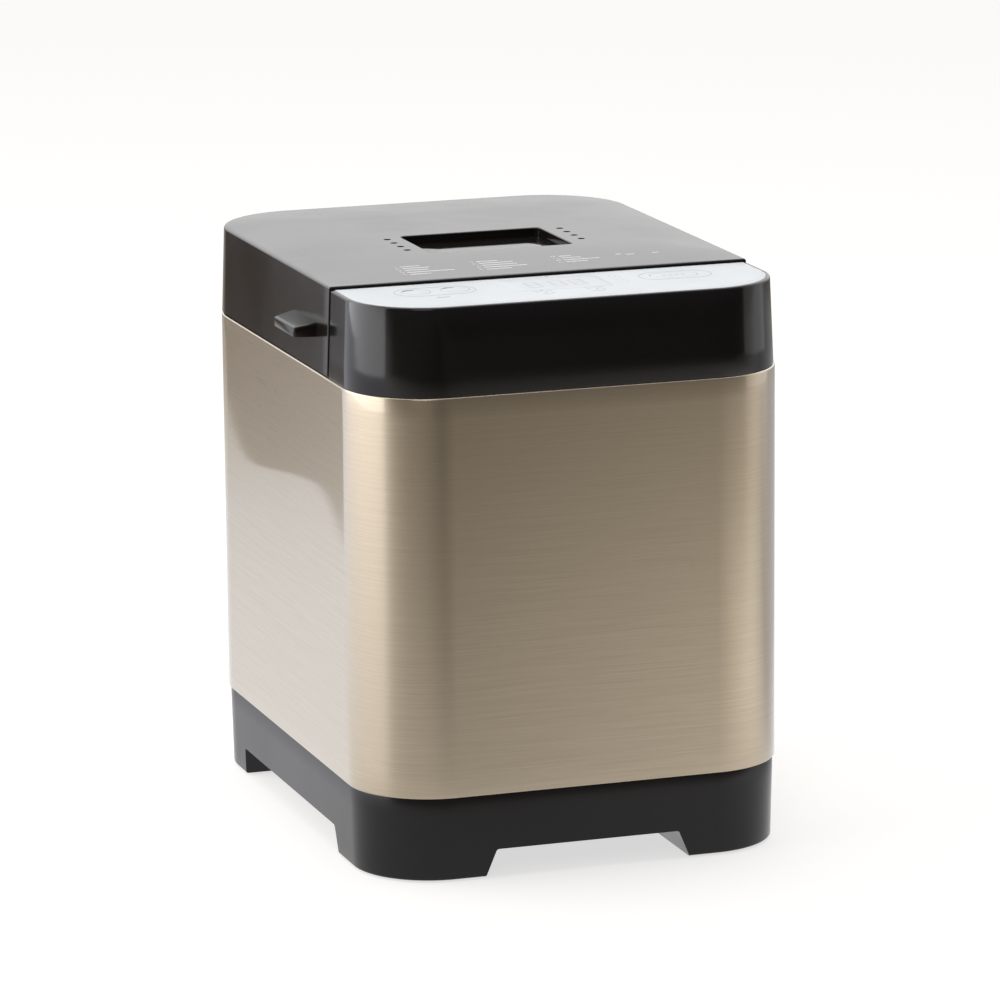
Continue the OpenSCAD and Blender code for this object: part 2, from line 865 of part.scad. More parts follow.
// Black lid: crowned top, window well, vents, lift lugs, hinge lugs and screw bosses
module lid_shell() {
    side_x = body_w / 2 - lid_inset;
    color("#3a3739") difference() {
        union() {
            difference() {
                union() {
                    translate([0, 0, lid_bottom]) linear_extrude(rim_z - rim_round - lid_bottom)
                        rear_part(lid_inset, lid_front);
                    crown(lid_inset + fit, rim_z, crown_h);
                }
                translate([0, 0, lid_bottom - past])
                    linear_extrude(rim_z - wall - rim_round - lid_bottom + past)
                        rear_part(lid_inset + wall, lid_front + wall);
                crown(lid_inset + wall + fit, rim_z - wall, crown_h);
                // opening at the back that takes the hinge block
                translate([-block_w / 2 - past, hinge_y, lid_bottom - past])
                    cube([block_w + 2 * past, 2 * hinge_back, notch_top - lid_bottom + past]);
            }
            // window well
            translate([0, window_y, liner_top + fit]) linear_extrude(crown_z - wall / 2 - liner_top - fit)
                round_rect(window_w + 2 * glass_lap + 2 * wall, window_d + 2 * glass_lap + 2 * wall, 6);
            translate([0, 0, liner_ring_z + sheet_t]) lid_bosses()
                cylinder(r = lid_boss_r, h = rim_z - wall - liner_ring_z);
            // hinge lugs
            both_sides(hinge_x) translate([0, hinge_y, hinge_z]) {
                along_x(lug_w) circle(r = hinge_lug_r);
                translate([-lug_w / 2, -hinge_lug_r, 0])
                    cube([lug_w, 2 * hinge_lug_r, rim_z - wall - hinge_z + 0.5]);
            }
            translate([side_x, 0, 0]) lift_lug();
            mirror([1, 0, 0]) translate([side_x, 0, 0]) lift_lug();
        }
        // recess, and the rebate for the glass below it
        translate([0, window_y, glass_top]) linear_extrude(window_drop + past)
            round_rect(window_w, window_d, 3);
        translate([0, window_y, liner_top]) linear_extrude(glass_top - liner_top)
            round_rect(window_w + 2 * glass_lap, window_d + 2 * glass_lap, 4);
        translate([0, 0, liner_top]) vents() cylinder(d = vent_d, h = crown_z);
        // the lower edge is cut back behind the hinge axis so that the lid clears the case
        translate([-body_w / 2, lid_relief_y, lid_bottom - past])
            cube([body_w, 2 * hinge_back + 8, lid_relief + past]);
        both_sides(hinge_x) translate([0, hinge_y, hinge_z]) along_x(3 * lug_w)
            circle(r = hinge_pin_d / 2 + run);
        translate([0, 0, liner_ring_z]) lid_bosses() cylinder(r = screw_r, h = screw_grip);
    }
}

// Aluminium liner of the lid: a flat ring with a raised box over the chamber
module lid_liner() {
    color("#c3c6c9") difference() {
        union() {
            translate([0, 0, liner_ring_z]) linear_extrude(sheet_t)
                rear_part(liner_inset, lid_front + wall + fit, liner_rear);
            on_chamber(liner_ring_z) linear_extrude(liner_top - liner_ring_z)
                round_rect(liner_w + 2 * sheet_t, liner_d + 2 * sheet_t, liner_r + sheet_t);
        }
        on_chamber(liner_ring_z - past) linear_extrude(liner_bottom - liner_ring_z + past)
            round_rect(liner_w, liner_d, liner_r);
        translate([0, window_y, liner_bottom - past]) linear_extrude(3 * past)
            round_rect(window_w - 2, window_d - 2, 3);
        translate([0, 0, liner_bottom - past]) vents() cylinder(d = vent_d, h = 3 * past);
        translate([0, 0, liner_ring_z - past]) lid_bosses() cylinder(r = screw_r + 0.1, h = 3 * past);
    }
}

// Silicone seal that meets the chamber's flange
module lid_seal() {
    low = chamber_top + fit;
    color("#b5574a") on_chamber(low) linear_extrude(liner_ring_z - low) difference() {
        round_rect(chamber_w + 2 + 2 * seal_w, chamber_d + 2 + 2 * seal_w, chamber_r + 1 + seal_w);
        round_rect(chamber_w + 2, chamber_d + 2, chamber_r + 1);
    }
}
module window_glass() {
    color("#9fb0b8") translate([0, window_y, glass_bottom]) linear_extrude(glass_t)
        round_rect(window_w + 2 * glass_lap - fit, window_d + 2 * glass_lap - fit, 4 - fit / 2);
}
module window_gasket() {
    color("#4a4a4a") translate([0, window_y, liner_top]) linear_extrude(gasket_t) difference() {
        round_rect(window_w + 2 * glass_lap - fit, window_d + 2 * glass_lap - fit, 4 - fit / 2);
        round_rect(window_w, window_d, 3);
    }
}
module lid_screws() {
    color("#8f9194") translate([0, 0, liner_ring_z]) lid_bosses() screw_up();
}
module hinge_pins() {
    color("#a7a9ac") both_sides(hinge_x) translate([0, hinge_y, hinge_z]) along_x(2 * hinge_pin_in)
        circle(d = hinge_pin_d);
}

// Sheet metal oven box with a flange that hangs on the top frame
module baking_chamber() {
    outer_w = chamber_w + 2 * sheet_t;
    outer_d = chamber_d + 2 * sheet_t;
    color("#9b9da0") difference() {
        union() {
            on_chamber(chamber_floor) linear_extrude(chamber_top - chamber_floor)
                round_rect(outer_w, outer_d, chamber_r + sheet_t);
            on_chamber(deck_top) linear_extrude(sheet_t)
                round_rect(outer_w + 2 * flange_w, outer_d + 2 * flange_w, chamber_r + sheet_t + flange_w);
        }
        on_chamber(chamber_floor_top) linear_extrude(chamber_top)
            round_rect(chamber_w, chamber_d, chamber_r);
        on_chamber(chamber_floor - past) cylinder(r = neck_r + fit, h = 3 * past);
        heater_leads(bush_r + 0.1);
        translate([-chamber_w / 2, sensor_y, sensor_z]) along_x(4 * past) circle(r = sensor_r + 0.1);
    }
}
module chamber_spacers() {
    height = chamber_floor - chassis_top;
    x = chamber_w / 2 - spacer_in;
    y = chamber_d / 2 - spacer_in;
    color("#d8d4c8") on_chamber(chassis_top) for (side = [-1, 1]) {
        for (end = [-1, 1]) translate([side * x, end * y, 0]) cylinder(r = spacer_r, h = height);
    }
}

// Straight stretch of both heater leads, through the chamber's front wall
module heater_leads(r) {
    start_y = heater_y + heater_lead_bend;
    both_sides(heater_lead_x) translate([0, chamber_y - start_y, heater_z]) rotate([90, 0, 0])
        cylinder(r = r, h = heater_lead_end - start_y);
}
module quarter_tube(bend, r) {
    rotate_extrude(angle = 90) translate([bend, 0]) circle(r = r);
}

// Tubular heater: a loop round the foot of the pan with two leads out of the front
module heating_element() {
    r = heater_d / 2;
    side_len = 2 * (heater_y - heater_bend);
    color("#5d5f61") {
        on_chamber(heater_z) {
            for (side = [-1, 1]) {
                translate([side * heater_x, 0, 0]) rotate([90, 0, 0])
                    cylinder(r = r, h = side_len, center = true);
            }
            translate([0, heater_y, 0]) rotate([0, 90, 0])
                cylinder(r = r, h = 2 * (heater_x - heater_bend), center = true);
            translate([heater_x - heater_bend, heater_y - heater_bend, 0]) quarter_tube(heater_bend, r);
            translate([heater_bend - heater_x, heater_y - heater_bend, 0]) rotate([0, 0, 90])
                quarter_tube(heater_bend, r);
            translate([heater_bend - heater_x, heater_bend - heater_y, 0]) rotate([0, 0, 180])
                quarter_tube(heater_bend, r);
            translate([heater_x - heater_bend, heater_bend - heater_y, 0]) rotate([0, 0, 270])
                quarter_tube(heater_bend, r);
            front_len = heater_x - heater_bend - heater_lead_x - heater_lead_bend;
            for (side = [-1, 1]) {
                translate([side * (heater_lead_x + heater_lead_bend + front_len / 2), -heater_y, 0])
                    rotate([0, 90, 0]) cylinder(r = r, h = front_len, center = true);
            }
            translate([heater_lead_x + heater_lead_bend, -heater_y - heater_lead_bend, 0])
                rotate([0, 0, 90]) quarter_tube(heater_lead_bend, r);
            translate([-heater_lead_x - heater_lead_bend, -heater_y - heater_lead_bend, 0])
                quarter_tube(heater_lead_bend, r);
        }
        heater_leads(r);
    }
}
module heater_bushes() {
    wall_y = chamber_y - chamber_d / 2 - sheet_t;
    color("#e6e2d6") difference() {
        both_sides(heater_lead_x) translate([0, wall_y, heater_z]) rotate([90, 0, 0]) {
            cylinder(r = bush_r + 2, h = 2.4);
            translate([0, 0, -2 * sheet_t]) cylinder(r = bush_r, h = 2 * sheet_t + shield_gap + 3);
        }
        heater_leads(heater_d / 2 + run);
    }
}

// Four clips on the chamber's walls that carry the heater
module heater_clips() {
    reach = chamber_w / 2 - heater_x + heater_d / 2 + sheet_t + fit;
    seat_z = heater_z - heater_d / 2 - sheet_t;
    color("#c9cbcd") on_chamber() for (side = [0, 1]) {
        for (y = [-40, 40]) {
            mirror([side, 0, 0]) translate([chamber_w / 2 - reach, y - 6, seat_z]) {
                cube([reach, 12, sheet_t]);
                translate([reach - sheet_t, 0, 0]) cube([sheet_t, 12, 16]);
                cube([sheet_t, 12, 4]);
            }
        }
    }
}
module temperature_sensor() {
    color("#c2c4c6") translate([-chamber_w / 2 - sheet_t, sensor_y, sensor_z]) rotate([0, 90, 0]) {
        translate([0, 0, -2]) cylinder(r = 7, h = 2);
        translate([0, 0, -8]) cylinder(r = sensor_r, h = 8 + sheet_t + sensor_reach - sensor_r);
        translate([0, 0, sheet_t + sensor_reach - sensor_r]) sphere(r = sensor_r);
    }
}
module thermal_fuse() {
    color("#d9d2c4") translate([chamber_w / 2 + sheet_t, chamber_y, sensor_z]) {
        translate([0, -fuse_plate[1] / 2, -fuse_plate[2] / 2]) cube(fuse_plate);
        translate([fuse_out, 0, 0]) rotate([90, 0, 0]) cylinder(r = fuse_r, h = fuse_len, center = true);
    }
}

// Sheet between the chamber and the motor
module heat_shield() {
    color("#b9bbbd") difference() {
        union() {
            translate([-chamber_w / 2, shield_y, chassis_top]) cube([chamber_w, sheet_t, shield_h]);
            translate([-chamber_w / 2, shield_y - shield_lip, chassis_top])
                cube([chamber_w, shield_lip, sheet_t]);
        }
        both_sides(heater_lead_x) translate([0, shield_y + sheet_t + past, heater_z]) rotate([90, 0, 0])
            cylinder(r = bush_r + 0.2, h = 4 * past);
    }
}

// Socket on the chamber's floor that the pan's collar stands in
module pan_seat() {
    color("#c4c6c8") on_chamber(chamber_floor_top) difference() {
        cylinder(r = collar_r + fit + seat_wall, h = seat_h);
        translate([0, 0, seat_t]) cylinder(r = collar_r + fit, h = seat_h);
        translate([0, 0, -past]) cylinder(r = neck_r + fit, h = seat_h);
    }
}

// The pan's wall, leaning in to the bottom
module pan_solid(inset, low, high) {
    lean = pan_taper * (1 - (low - pan_z) / pan_h);
    hull() {
        translate([0, 0, low]) linear_extrude(0.01)
            round_rect(pan_w - 2 * (inset + lean), pan_d - 2 * (inset + lean), pan_r - inset, $fn = hull_fn);
        translate([0, 0, high - 0.01]) linear_extrude(0.01)
            round_rect(pan_w - 2 * inset, pan_d - 2 * inset, pan_r - inset, $fn = hull_fn);
    }
}
module bread_pan() {
    color("#4c4b4d") on_chamber() difference() {
        union() {
            pan_solid(0, pan_z, pan_top);
            translate([0, 0, pan_top - rim_t]) linear_extrude(rim_t)
                round_rect(pan_w + 2 * rim_w, pan_d + 2 * rim_w, pan_r + rim_w);
        }
        pan_solid(pan_t, pan_z + pan_t, pan_top + past);
        translate([0, 0, pan_z - past]) cylinder(r = bush_wall + spindle_d / 2 + 2, h = 3 * past + pan_t);
        for (side = [-1, 1]) {
            translate([side * (ear_x + rim_w), 0, pan_top])
                cube([2 * rim_w, ear_w + 2 * fit, 4 * rim_t], center = true);
        }
    }
}
module pan_collar() {
    color("#b9bbbd") on_chamber() difference() {
        union() {
            translate([0, 0, collar_z]) cylinder(r = collar_r, h = pan_z - collar_z);
            translate([0, 0, pan_z - 2]) cylinder(r = collar_r + 6, h = 2);
        }
        translate([0, 0, collar_z - past]) cylinder(r = collar_r - collar_t, h = pan_z);
    }
}

// Flanged bush in the pan's floor that the spindle turns in
module spindle_bush() {
    outer = bush_wall + spindle_d / 2 + 2;
    color("#c9b27a") on_chamber() difference() {
        union() {
            translate([0, 0, bush_z]) cylinder(r = outer, h = bush_top - bush_z);
            translate([0, 0, pan_z - 2]) cylinder(r = collar_r - collar_t, h = 2);
        }
        translate([0, 0, bush_z - past]) cylinder(r = spindle_d / 2 + run, h = bush_top);
    }
}

// Two ears riveted to the pan that hold the ends of the handle
module pan_ears() {
    ear_top = bail_z + wire_d / 2 + 2;
    color("#bfc1c3") on_chamber() difference() {
        for (side = [-1, 1]) {
            translate([side * (ear_x + ear_t / 2), 0, 0]) along_x(ear_t) {
                translate([-ear_top + ear_w / 4, -ear_w / 2]) square([ear_len, ear_w]);
                translate([-ear_top, -ear_w / 4]) square([ear_head, ear_w / 2]);
                for (y = [-1, 1]) translate([-ear_top + ear_w / 4, y * ear_w / 4]) circle(r = ear_w / 4);
            }
        }
        translate([0, 0, bail_z]) along_x(2 * pan_w) circle(r = wire_d / 2 + run);
    }
}

// Wire handle, folded down towards the front
module pan_handle() {
    r = wire_d / 2;
    end_len = bail_x - ear_x + 3;
    color("#c8cacc") on_chamber(bail_z) {
        for (side = [0, 1]) {
            mirror([side, 0, 0]) {
                translate([bail_x - end_len, 0, 0]) rotate([0, 90, 0]) cylinder(r = r, h = end_len);
                translate([bail_x, 0, 0]) sphere(r = r);
                translate([bail_x, 0, 0]) rotate([90, 0, 0]) cylinder(r = r, h = bail_reach - bail_bend);
                translate([bail_x - bail_bend, bail_bend - bail_reach, 0]) rotate([0, 0, 270])
                    quarter_tube(bail_bend, r);
            }
        }
        translate([0, -bail_reach, 0]) rotate([0, 90, 0])
            cylinder(r = r, h = 2 * (bail_x - bail_bend), center = true);
    }
}

// Spindle in the pan: a wing below that the drive dog turns, a flat above for the paddle
module spindle_section(grow) {
    intersection() {
        circle(r = spindle_d / 2 + grow);
        translate([-spindle_d, -spindle_d]) square([spindle_d + spindle_d / 2 - 1 + grow, 2 * spindle_d]);
    }
}
module pan_spindle() {
    hub = spindle_d / 2 + 3;
    color("#b5b7ba") on_chamber() {
        translate([0, 0, wing_z]) {
            cylinder(r = hub, h = bush_z - wing_z - fit);
            translate([-wing_len / 2, -wing_w / 2, 0]) cube([wing_len, wing_w, wing_h]);
        }
        translate([0, 0, wing_z]) cylinder(r = spindle_d / 2, h = bush_top - wing_z + fit);
        translate([0, 0, bush_top + fit]) cylinder(r = spindle_d / 2 + 2, h = 1);
        translate([0, 0, bush_top + fit]) linear_extrude(paddle_hub_z + paddle_h - bush_top - 1.5)
            spindle_section(0);
    }
}
module kneading_paddle() {
    hub = spindle_d / 2 + paddle_wall;
    root = hub - paddle_lap;
    color("#59585a") on_chamber() difference() {
        union() {
            translate([0, 0, paddle_hub_z]) cylinder(r = hub, h = paddle_h);
            translate([0, paddle_t / 2, paddle_z]) rotate([90, 0, 0]) linear_extrude(paddle_t) polygon([
                [root, paddle_heel[1]], [hub + paddle_heel[0], 0], [paddle_reach, 0],
                [paddle_reach, paddle_toe_h], [paddle_reach - paddle_brow[0], paddle_brow[1]],
                [root, paddle_hub_z + paddle_h - paddle_z]
            ]);
        }
        translate([0, 0, paddle_z - past]) cylinder(r = root + 0.01, h = paddle_hub_z - paddle_z + past);
        translate([0, 0, paddle_z]) linear_extrude(2 * paddle_h) spindle_section(0.1);
    }
}

module output_shaft() {
    color("#a7a9ac") on_chamber() {
        translate([0, 0, pulley_bottom - 3]) cylinder(d = shaft_d, h = dog_z + 3.5 - pulley_bottom + 3);
        translate([0, 0, bearing_bottom - 2.5]) cylinder(r = shaft_d / 2 + 2.5, h = 2.2);
    }
}

// Drive dog: two blocks that push the wing of the spindle round
module drive_dog() {
    color("#8d8f92") on_chamber(dog_z) difference() {
        union() {
            cylinder(r = dog_r, h = 2);
            cylinder(r = shaft_d / 2 + 3, h = wing_z - dog_z - 1);
            for (a = [0, 180]) {
                rotate([0, 0, a]) translate([dog_x - dog_block / 2, -wing_w / 2 - fit - dog_block, 0])
                    cube([dog_block, dog_block, wing_z + wing_h - dog_z]);
            }
        }
        translate([0, 0, -past]) cylinder(d = shaft_d, h = 3.5 + past);
    }
}

// A grooved pulley: rim, web and hub
module pulley(run_r, hub_r, hub_top, bore_d, flange) {
    rotate_extrude() polygon([
        [bore_d / 2, pulley_bottom], [run_r + flange, pulley_bottom],
        [run_r + flange, pulley_bottom + pulley_rim_t], [run_r, pulley_bottom + pulley_rim_t],
        [run_r, pulley_top - pulley_rim_t], [run_r + flange, pulley_top - pulley_rim_t],
        [run_r + flange, pulley_top], [hub_r, pulley_top], [hub_r, hub_top], [bore_d / 2, hub_top]
    ]);
}
module large_pulley() {
    web_t = 3;
    hub_r = shaft_d / 2 + 5;
    rim_r = large_r - 4;
    holes = 6;
    color("#dcd8cc") on_chamber() difference() {
        pulley(large_r, hub_r, bearing_bottom - 3, shaft_d, pulley_flange);
        translate([0, 0, pulley_bottom + web_t]) difference() {
            cylinder(r = rim_r, h = pulley_top);
            cylinder(r = hub_r, h = pulley_top);
        }
        for (i = [0:holes - 1]) {
            rotate([0, 0, i * 360 / holes]) translate([(rim_r + hub_r) / 2, 0, pulley_bottom - past])
                cylinder(r = (rim_r - hub_r) / 3, h = web_t + 2 * past);
        }
    }
}
module small_pulley() {
    color("#dcd8cc") translate([0, motor_y, 0])
        pulley(small_r, motor_shaft_d / 2 + 3, pulley_top + 5, motor_shaft_d, pulley_flange);
}

// Belt round both pulleys: two arcs and the two straight runs that join them
module drive_belt() {
    lap = 0.05;
    span = chamber_y - motor_y;
    lean = asin((large_r - small_r) / span);
    run_len = span * cos(lean) + 2 * lap;
    color("#262626") {
        translate([0, chamber_y, belt_z]) rotate([0, 0, -lean]) belt_arc(large_r + belt_gap, 180 + 2 * lean);
        translate([0, motor_y, belt_z]) rotate([0, 0, 180 + lean])
            belt_arc(small_r + belt_gap, 180 - 2 * lean);
        for (side = [0, 1]) {
            mirror([side, 0, 0]) translate([0, chamber_y, belt_z]) rotate([0, 0, -lean])
                translate([large_r + belt_gap, lap - run_len, 0]) cube([belt_t, run_len, belt_w]);
        }
    }
}
module belt_arc(r, turn) {
    rotate_extrude(angle = turn) translate([r, 0]) square([belt_t, belt_w]);
}

// Bearing housing on the chassis, with a neck that reaches up into the chamber
module bearing_housing() {
    color("#9a9c9e") on_chamber() difference() {
        union() {
            translate([0, 0, bearing_bottom]) cylinder(r = neck_r, h = bearing_top - bearing_bottom);
            translate([0, 0, chassis_top]) cylinder(r = 2 * neck_r, h = 3);
        }
        translate([0, 0, bearing_bottom - past]) cylinder(r = shaft_d / 2 + bush_wall, h = bearing_top);
    }
}
module output_bushes() {
    color("#b08d57") on_chamber() for (z = [bearing_bottom, bearing_top - bush_len]) {
        translate([0, 0, z]) difference() {
            cylinder(r = shaft_d / 2 + bush_wall, h = bush_len);
            translate([0, 0, -past]) cylinder(r = shaft_d / 2 + run, h = bush_len + 2 * past);
        }
    }
}

// Motor: laminated stack, two bells with the bearings, and what turns inside
module motor_stator() {
    color("#6f7275") translate([0, motor_y, stack_z]) linear_extrude(stack[2]) difference() {
        round_rect(stack[0], stack[1], 8);
        circle(r = bore_r);
    }
}
module motor_bell(z, up) {
    translate([0, motor_y, z]) mirror([0, 0, up ? 0 : 1]) difference() {
        cylinder(r = bell_r, h = bell_h);
        translate([0, 0, -past]) cylinder(r = bell_r - 2, h = bell_h - 3 + past);
        cylinder(r = motor_shaft_d / 2 + run, h = 2 * bell_h);
    }
}
module motor_bells() {
    color("#b9bbbd") {
        motor_bell(stack_z + stack[2], true);
        motor_bell(stack_z, false);
        translate([0, motor_y, motor_foot_z]) difference() {
            linear_extrude(motor_foot[2]) round_rect(motor_foot[0], motor_foot[1], 6);
            translate([0, 0, -past]) cylinder(r = bell_r - 10, h = motor_foot[2] + 2 * past);
            translate([0, -motor_y, -past]) motor_bosses()
                cylinder(r = screw_r + 0.1, h = motor_foot[2] + 2 * past);
        }
    }
}
module motor_mounts() {
    color("#2a2a2a") translate([0, 0, chassis_top]) motor_bosses() difference() {
        cylinder(r = mount_r, h = mount_h);
        translate([0, 0, -past]) cylinder(r = screw_r + 0.1, h = mount_h + 2 * past);
    }
}
module motor_screws() {
    color("#8f9194") translate([0, 0, motor_plate_z]) motor_bosses() mirror([0, 0, 1]) screw_up();
}
module motor_rotor() {
    color("#8b8d90") translate([0, motor_y, 0]) {
        translate([0, 0, pulley_bottom - 2])
            cylinder(d = motor_shaft_d, h = fan_z + fan_h - pulley_bottom + 2);
        translate([0, 0, stack_z + 1]) cylinder(r = bore_r - rotor_gap, h = stack[2] - 2);
    }
}
module motor_fan() {
    color("#e2e0da") translate([0, motor_y, fan_z]) difference() {
        union() {
            cylinder(r = motor_shaft_d / 2 + 3, h = fan_h);
            cylinder(r = fan_r, h = 1.5);
            for (i = [0:fan_blades - 1]) {
                rotate([0, 0, i * 360 / fan_blades]) translate([motor_shaft_d / 2 + 2, -0.75, 0])
                    cube([fan_r - motor_shaft_d / 2 - 3, 1.5, fan_h]);
            }
        }
        translate([0, 0, -past]) cylinder(d = motor_shaft_d, h = fan_h + 2 * past);
    }
}

module run_capacitor() {
    color("#d5d8da") translate([cap_x, cap_y, chassis_top]) {
        cylinder(r = cap_r, h = cap_h);
        for (side = [-1, 1]) {
            translate([side * cap_tag_x - cap_tag[0] / 2, -cap_tag[1] / 2, cap_h]) cube(cap_tag);
        }
    }
}
module power_board() {
    color("#7a5b2e") translate([power_x, power_y, power_z]) {
        translate([-power_w / 2, -power_d / 2, 0]) cube([power_w, power_d, board_t]);
        translate([filter_choke_in - power_w / 2, power_edge - power_d / 2, board_t]) cube(filter_choke);
        translate([relay_x, power_edge - power_d / 2, board_t]) cube(relay);
        translate([store_can_at[0], store_can_at[1], board_t]) cylinder(r = store_can_r, h = store_can_h);
        for (x = [-1, 1]) {
            for (y = [-1, 1]) {
                translate([x * (power_w / 2 - power_post_in[0]), y * (power_d / 2 - power_post_in[1]), 0])
                    translate([0, 0, chassis_top - power_z])
                        cylinder(r = power_post_r, h = power_z - chassis_top + 0.1);
            }
        }
    }
}

// Gland in the back of the base where the mains lead enters
module cord_gland() {
    inner_y = case_rear - base_inset - wall;
    color("#2b292a") difference() {
        union() {
            translate([gland_x, case_rear - base_inset - fit, gland_z]) rotate([90, 0, 0])
                cylinder(r = gland_r - 0.1, h = 9);
            translate([gland_x, inner_y, gland_z]) rotate([90, 0, 0])
                cylinder(r = gland_r + gland_lip, h = 3);
        }
        translate([gland_x, case_rear, gland_z]) rotate([90, 0, 0]) cylinder(r = cord_r, h = 20);
    }
}

base_shell();
foot_pads();
steel_wrap();
top_frame();
uprights();
chassis_plate();
chassis_screws();
control_housing();
housing_screws();
control_panel();
display_window();
display_module();
control_board();
board_screws();
key_time_up();
key_time_down();
key_start();
key_menu();
key_crust();
lid_shell();
lid_liner();
lid_seal();
window_glass();
window_gasket();
lid_screws();
hinge_pins();
baking_chamber();
chamber_spacers();
heating_element();
heater_bushes();
heater_clips();
temperature_sensor();
thermal_fuse();
heat_shield();
pan_seat();
bread_pan();
pan_collar();
spindle_bush();
pan_ears();
pan_handle();
pan_spindle();
kneading_paddle();
output_shaft();
drive_dog();
large_pulley();
drive_belt();
bearing_housing();
output_bushes();
motor_stator();
motor_bells();
motor_mounts();
motor_screws();
motor_rotor();
motor_fan();
small_pulley();
run_capacitor();
power_board();
cord_gland();
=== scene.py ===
import bmesh
import bpy
import numpy as np
from mathutils import Matrix, Vector


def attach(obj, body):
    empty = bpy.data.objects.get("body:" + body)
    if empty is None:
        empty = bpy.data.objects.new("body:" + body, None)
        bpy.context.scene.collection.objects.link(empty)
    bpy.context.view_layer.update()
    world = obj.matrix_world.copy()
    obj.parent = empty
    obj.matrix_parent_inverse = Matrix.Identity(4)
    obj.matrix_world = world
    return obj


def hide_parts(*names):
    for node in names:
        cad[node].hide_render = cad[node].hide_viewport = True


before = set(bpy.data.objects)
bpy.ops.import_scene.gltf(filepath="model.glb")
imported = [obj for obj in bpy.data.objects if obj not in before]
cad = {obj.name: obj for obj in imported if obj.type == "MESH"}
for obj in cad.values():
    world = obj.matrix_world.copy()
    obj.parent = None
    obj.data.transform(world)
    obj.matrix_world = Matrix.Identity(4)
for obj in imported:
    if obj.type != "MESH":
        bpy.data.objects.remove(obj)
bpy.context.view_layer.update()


# ---------------------------------------------------------------------------
# Camera: a long lens three metres away, a little left of the front and above,
# so that the front and the left side show and the upright edges stay parallel.
def placed(name, data):
    """An object that holds the data, linked to the scene."""
    made = bpy.data.objects.new(name, data)
    bpy.context.scene.collection.objects.link(made)
    return made


yaw, pitch, roll = np.radians([18.527, 12.343, -0.532])
ahead = np.array([np.sin(yaw) * np.cos(pitch), np.cos(yaw) * np.cos(pitch), -np.sin(pitch)])
across = np.array([np.cos(yaw), -np.sin(yaw), 0.0])
upward = np.cross(across, ahead)
turned_across = across * np.cos(roll) + upward * np.sin(roll)
turned_upward = upward * np.cos(roll) - across * np.sin(roll)
camera_place = [-0.97895, -2.93587, 0.84336]
lens = bpy.data.cameras.new("camera")
lens.sensor_width = 36.0
lens.lens = 209.72
lens.clip_end = 50.0
camera = placed("camera", lens)
stand = np.column_stack([turned_across, turned_upward, -ahead, camera_place])
camera.matrix_world = Matrix([*stand.tolist(), [0, 0, 0, 1]])
bpy.context.scene.camera = camera
bpy.context.scene.view_settings.view_transform = "Standard"


# ---------------------------------------------------------------------------
# Studio: a pale floor that runs out of view, a light surround, and soft boxes
# to the left, to the right, above and in front.
def add(tree, kind, inputs=None, **settings):
    """Adds a node, with its settings, and fills or links its inputs by name or number."""
    made = tree.nodes.new(kind)
    for key, value in settings.items():
        setattr(made, key, value)
    for key, value in (inputs or {}).items():
        if isinstance(value, bpy.types.NodeSocket):
            tree.links.new(value, made.inputs[key])
        else:
            made.inputs[key].default_value = value
    return made


def maths(tree, operation, *values, **settings):
    """The result of one sum."""
    made = add(tree, "ShaderNodeMath", dict(enumerate(values)), operation=operation, **settings)
    return made.outputs[0]


def mapped(tree, value, low, high, to_low=0.0, to_high=1.0, **settings):
    """A value that runs from to_low to to_high as the given one runs from low to high."""
    return add(tree, "ShaderNodeMapRange", {
        "Value": value, "From Min": low, "From Max": high, "To Min": to_low, "To Max": to_high},
        **settings).outputs[0]


def blend_colours(tree, mask, first, second):
    """A colour that runs from the first to the second as the mask runs from 0 to 1."""
    made = add(tree, "ShaderNodeMix", {"Factor": mask, "A": first, "B": second}, data_type="RGBA")
    return made.outputs["Result"]


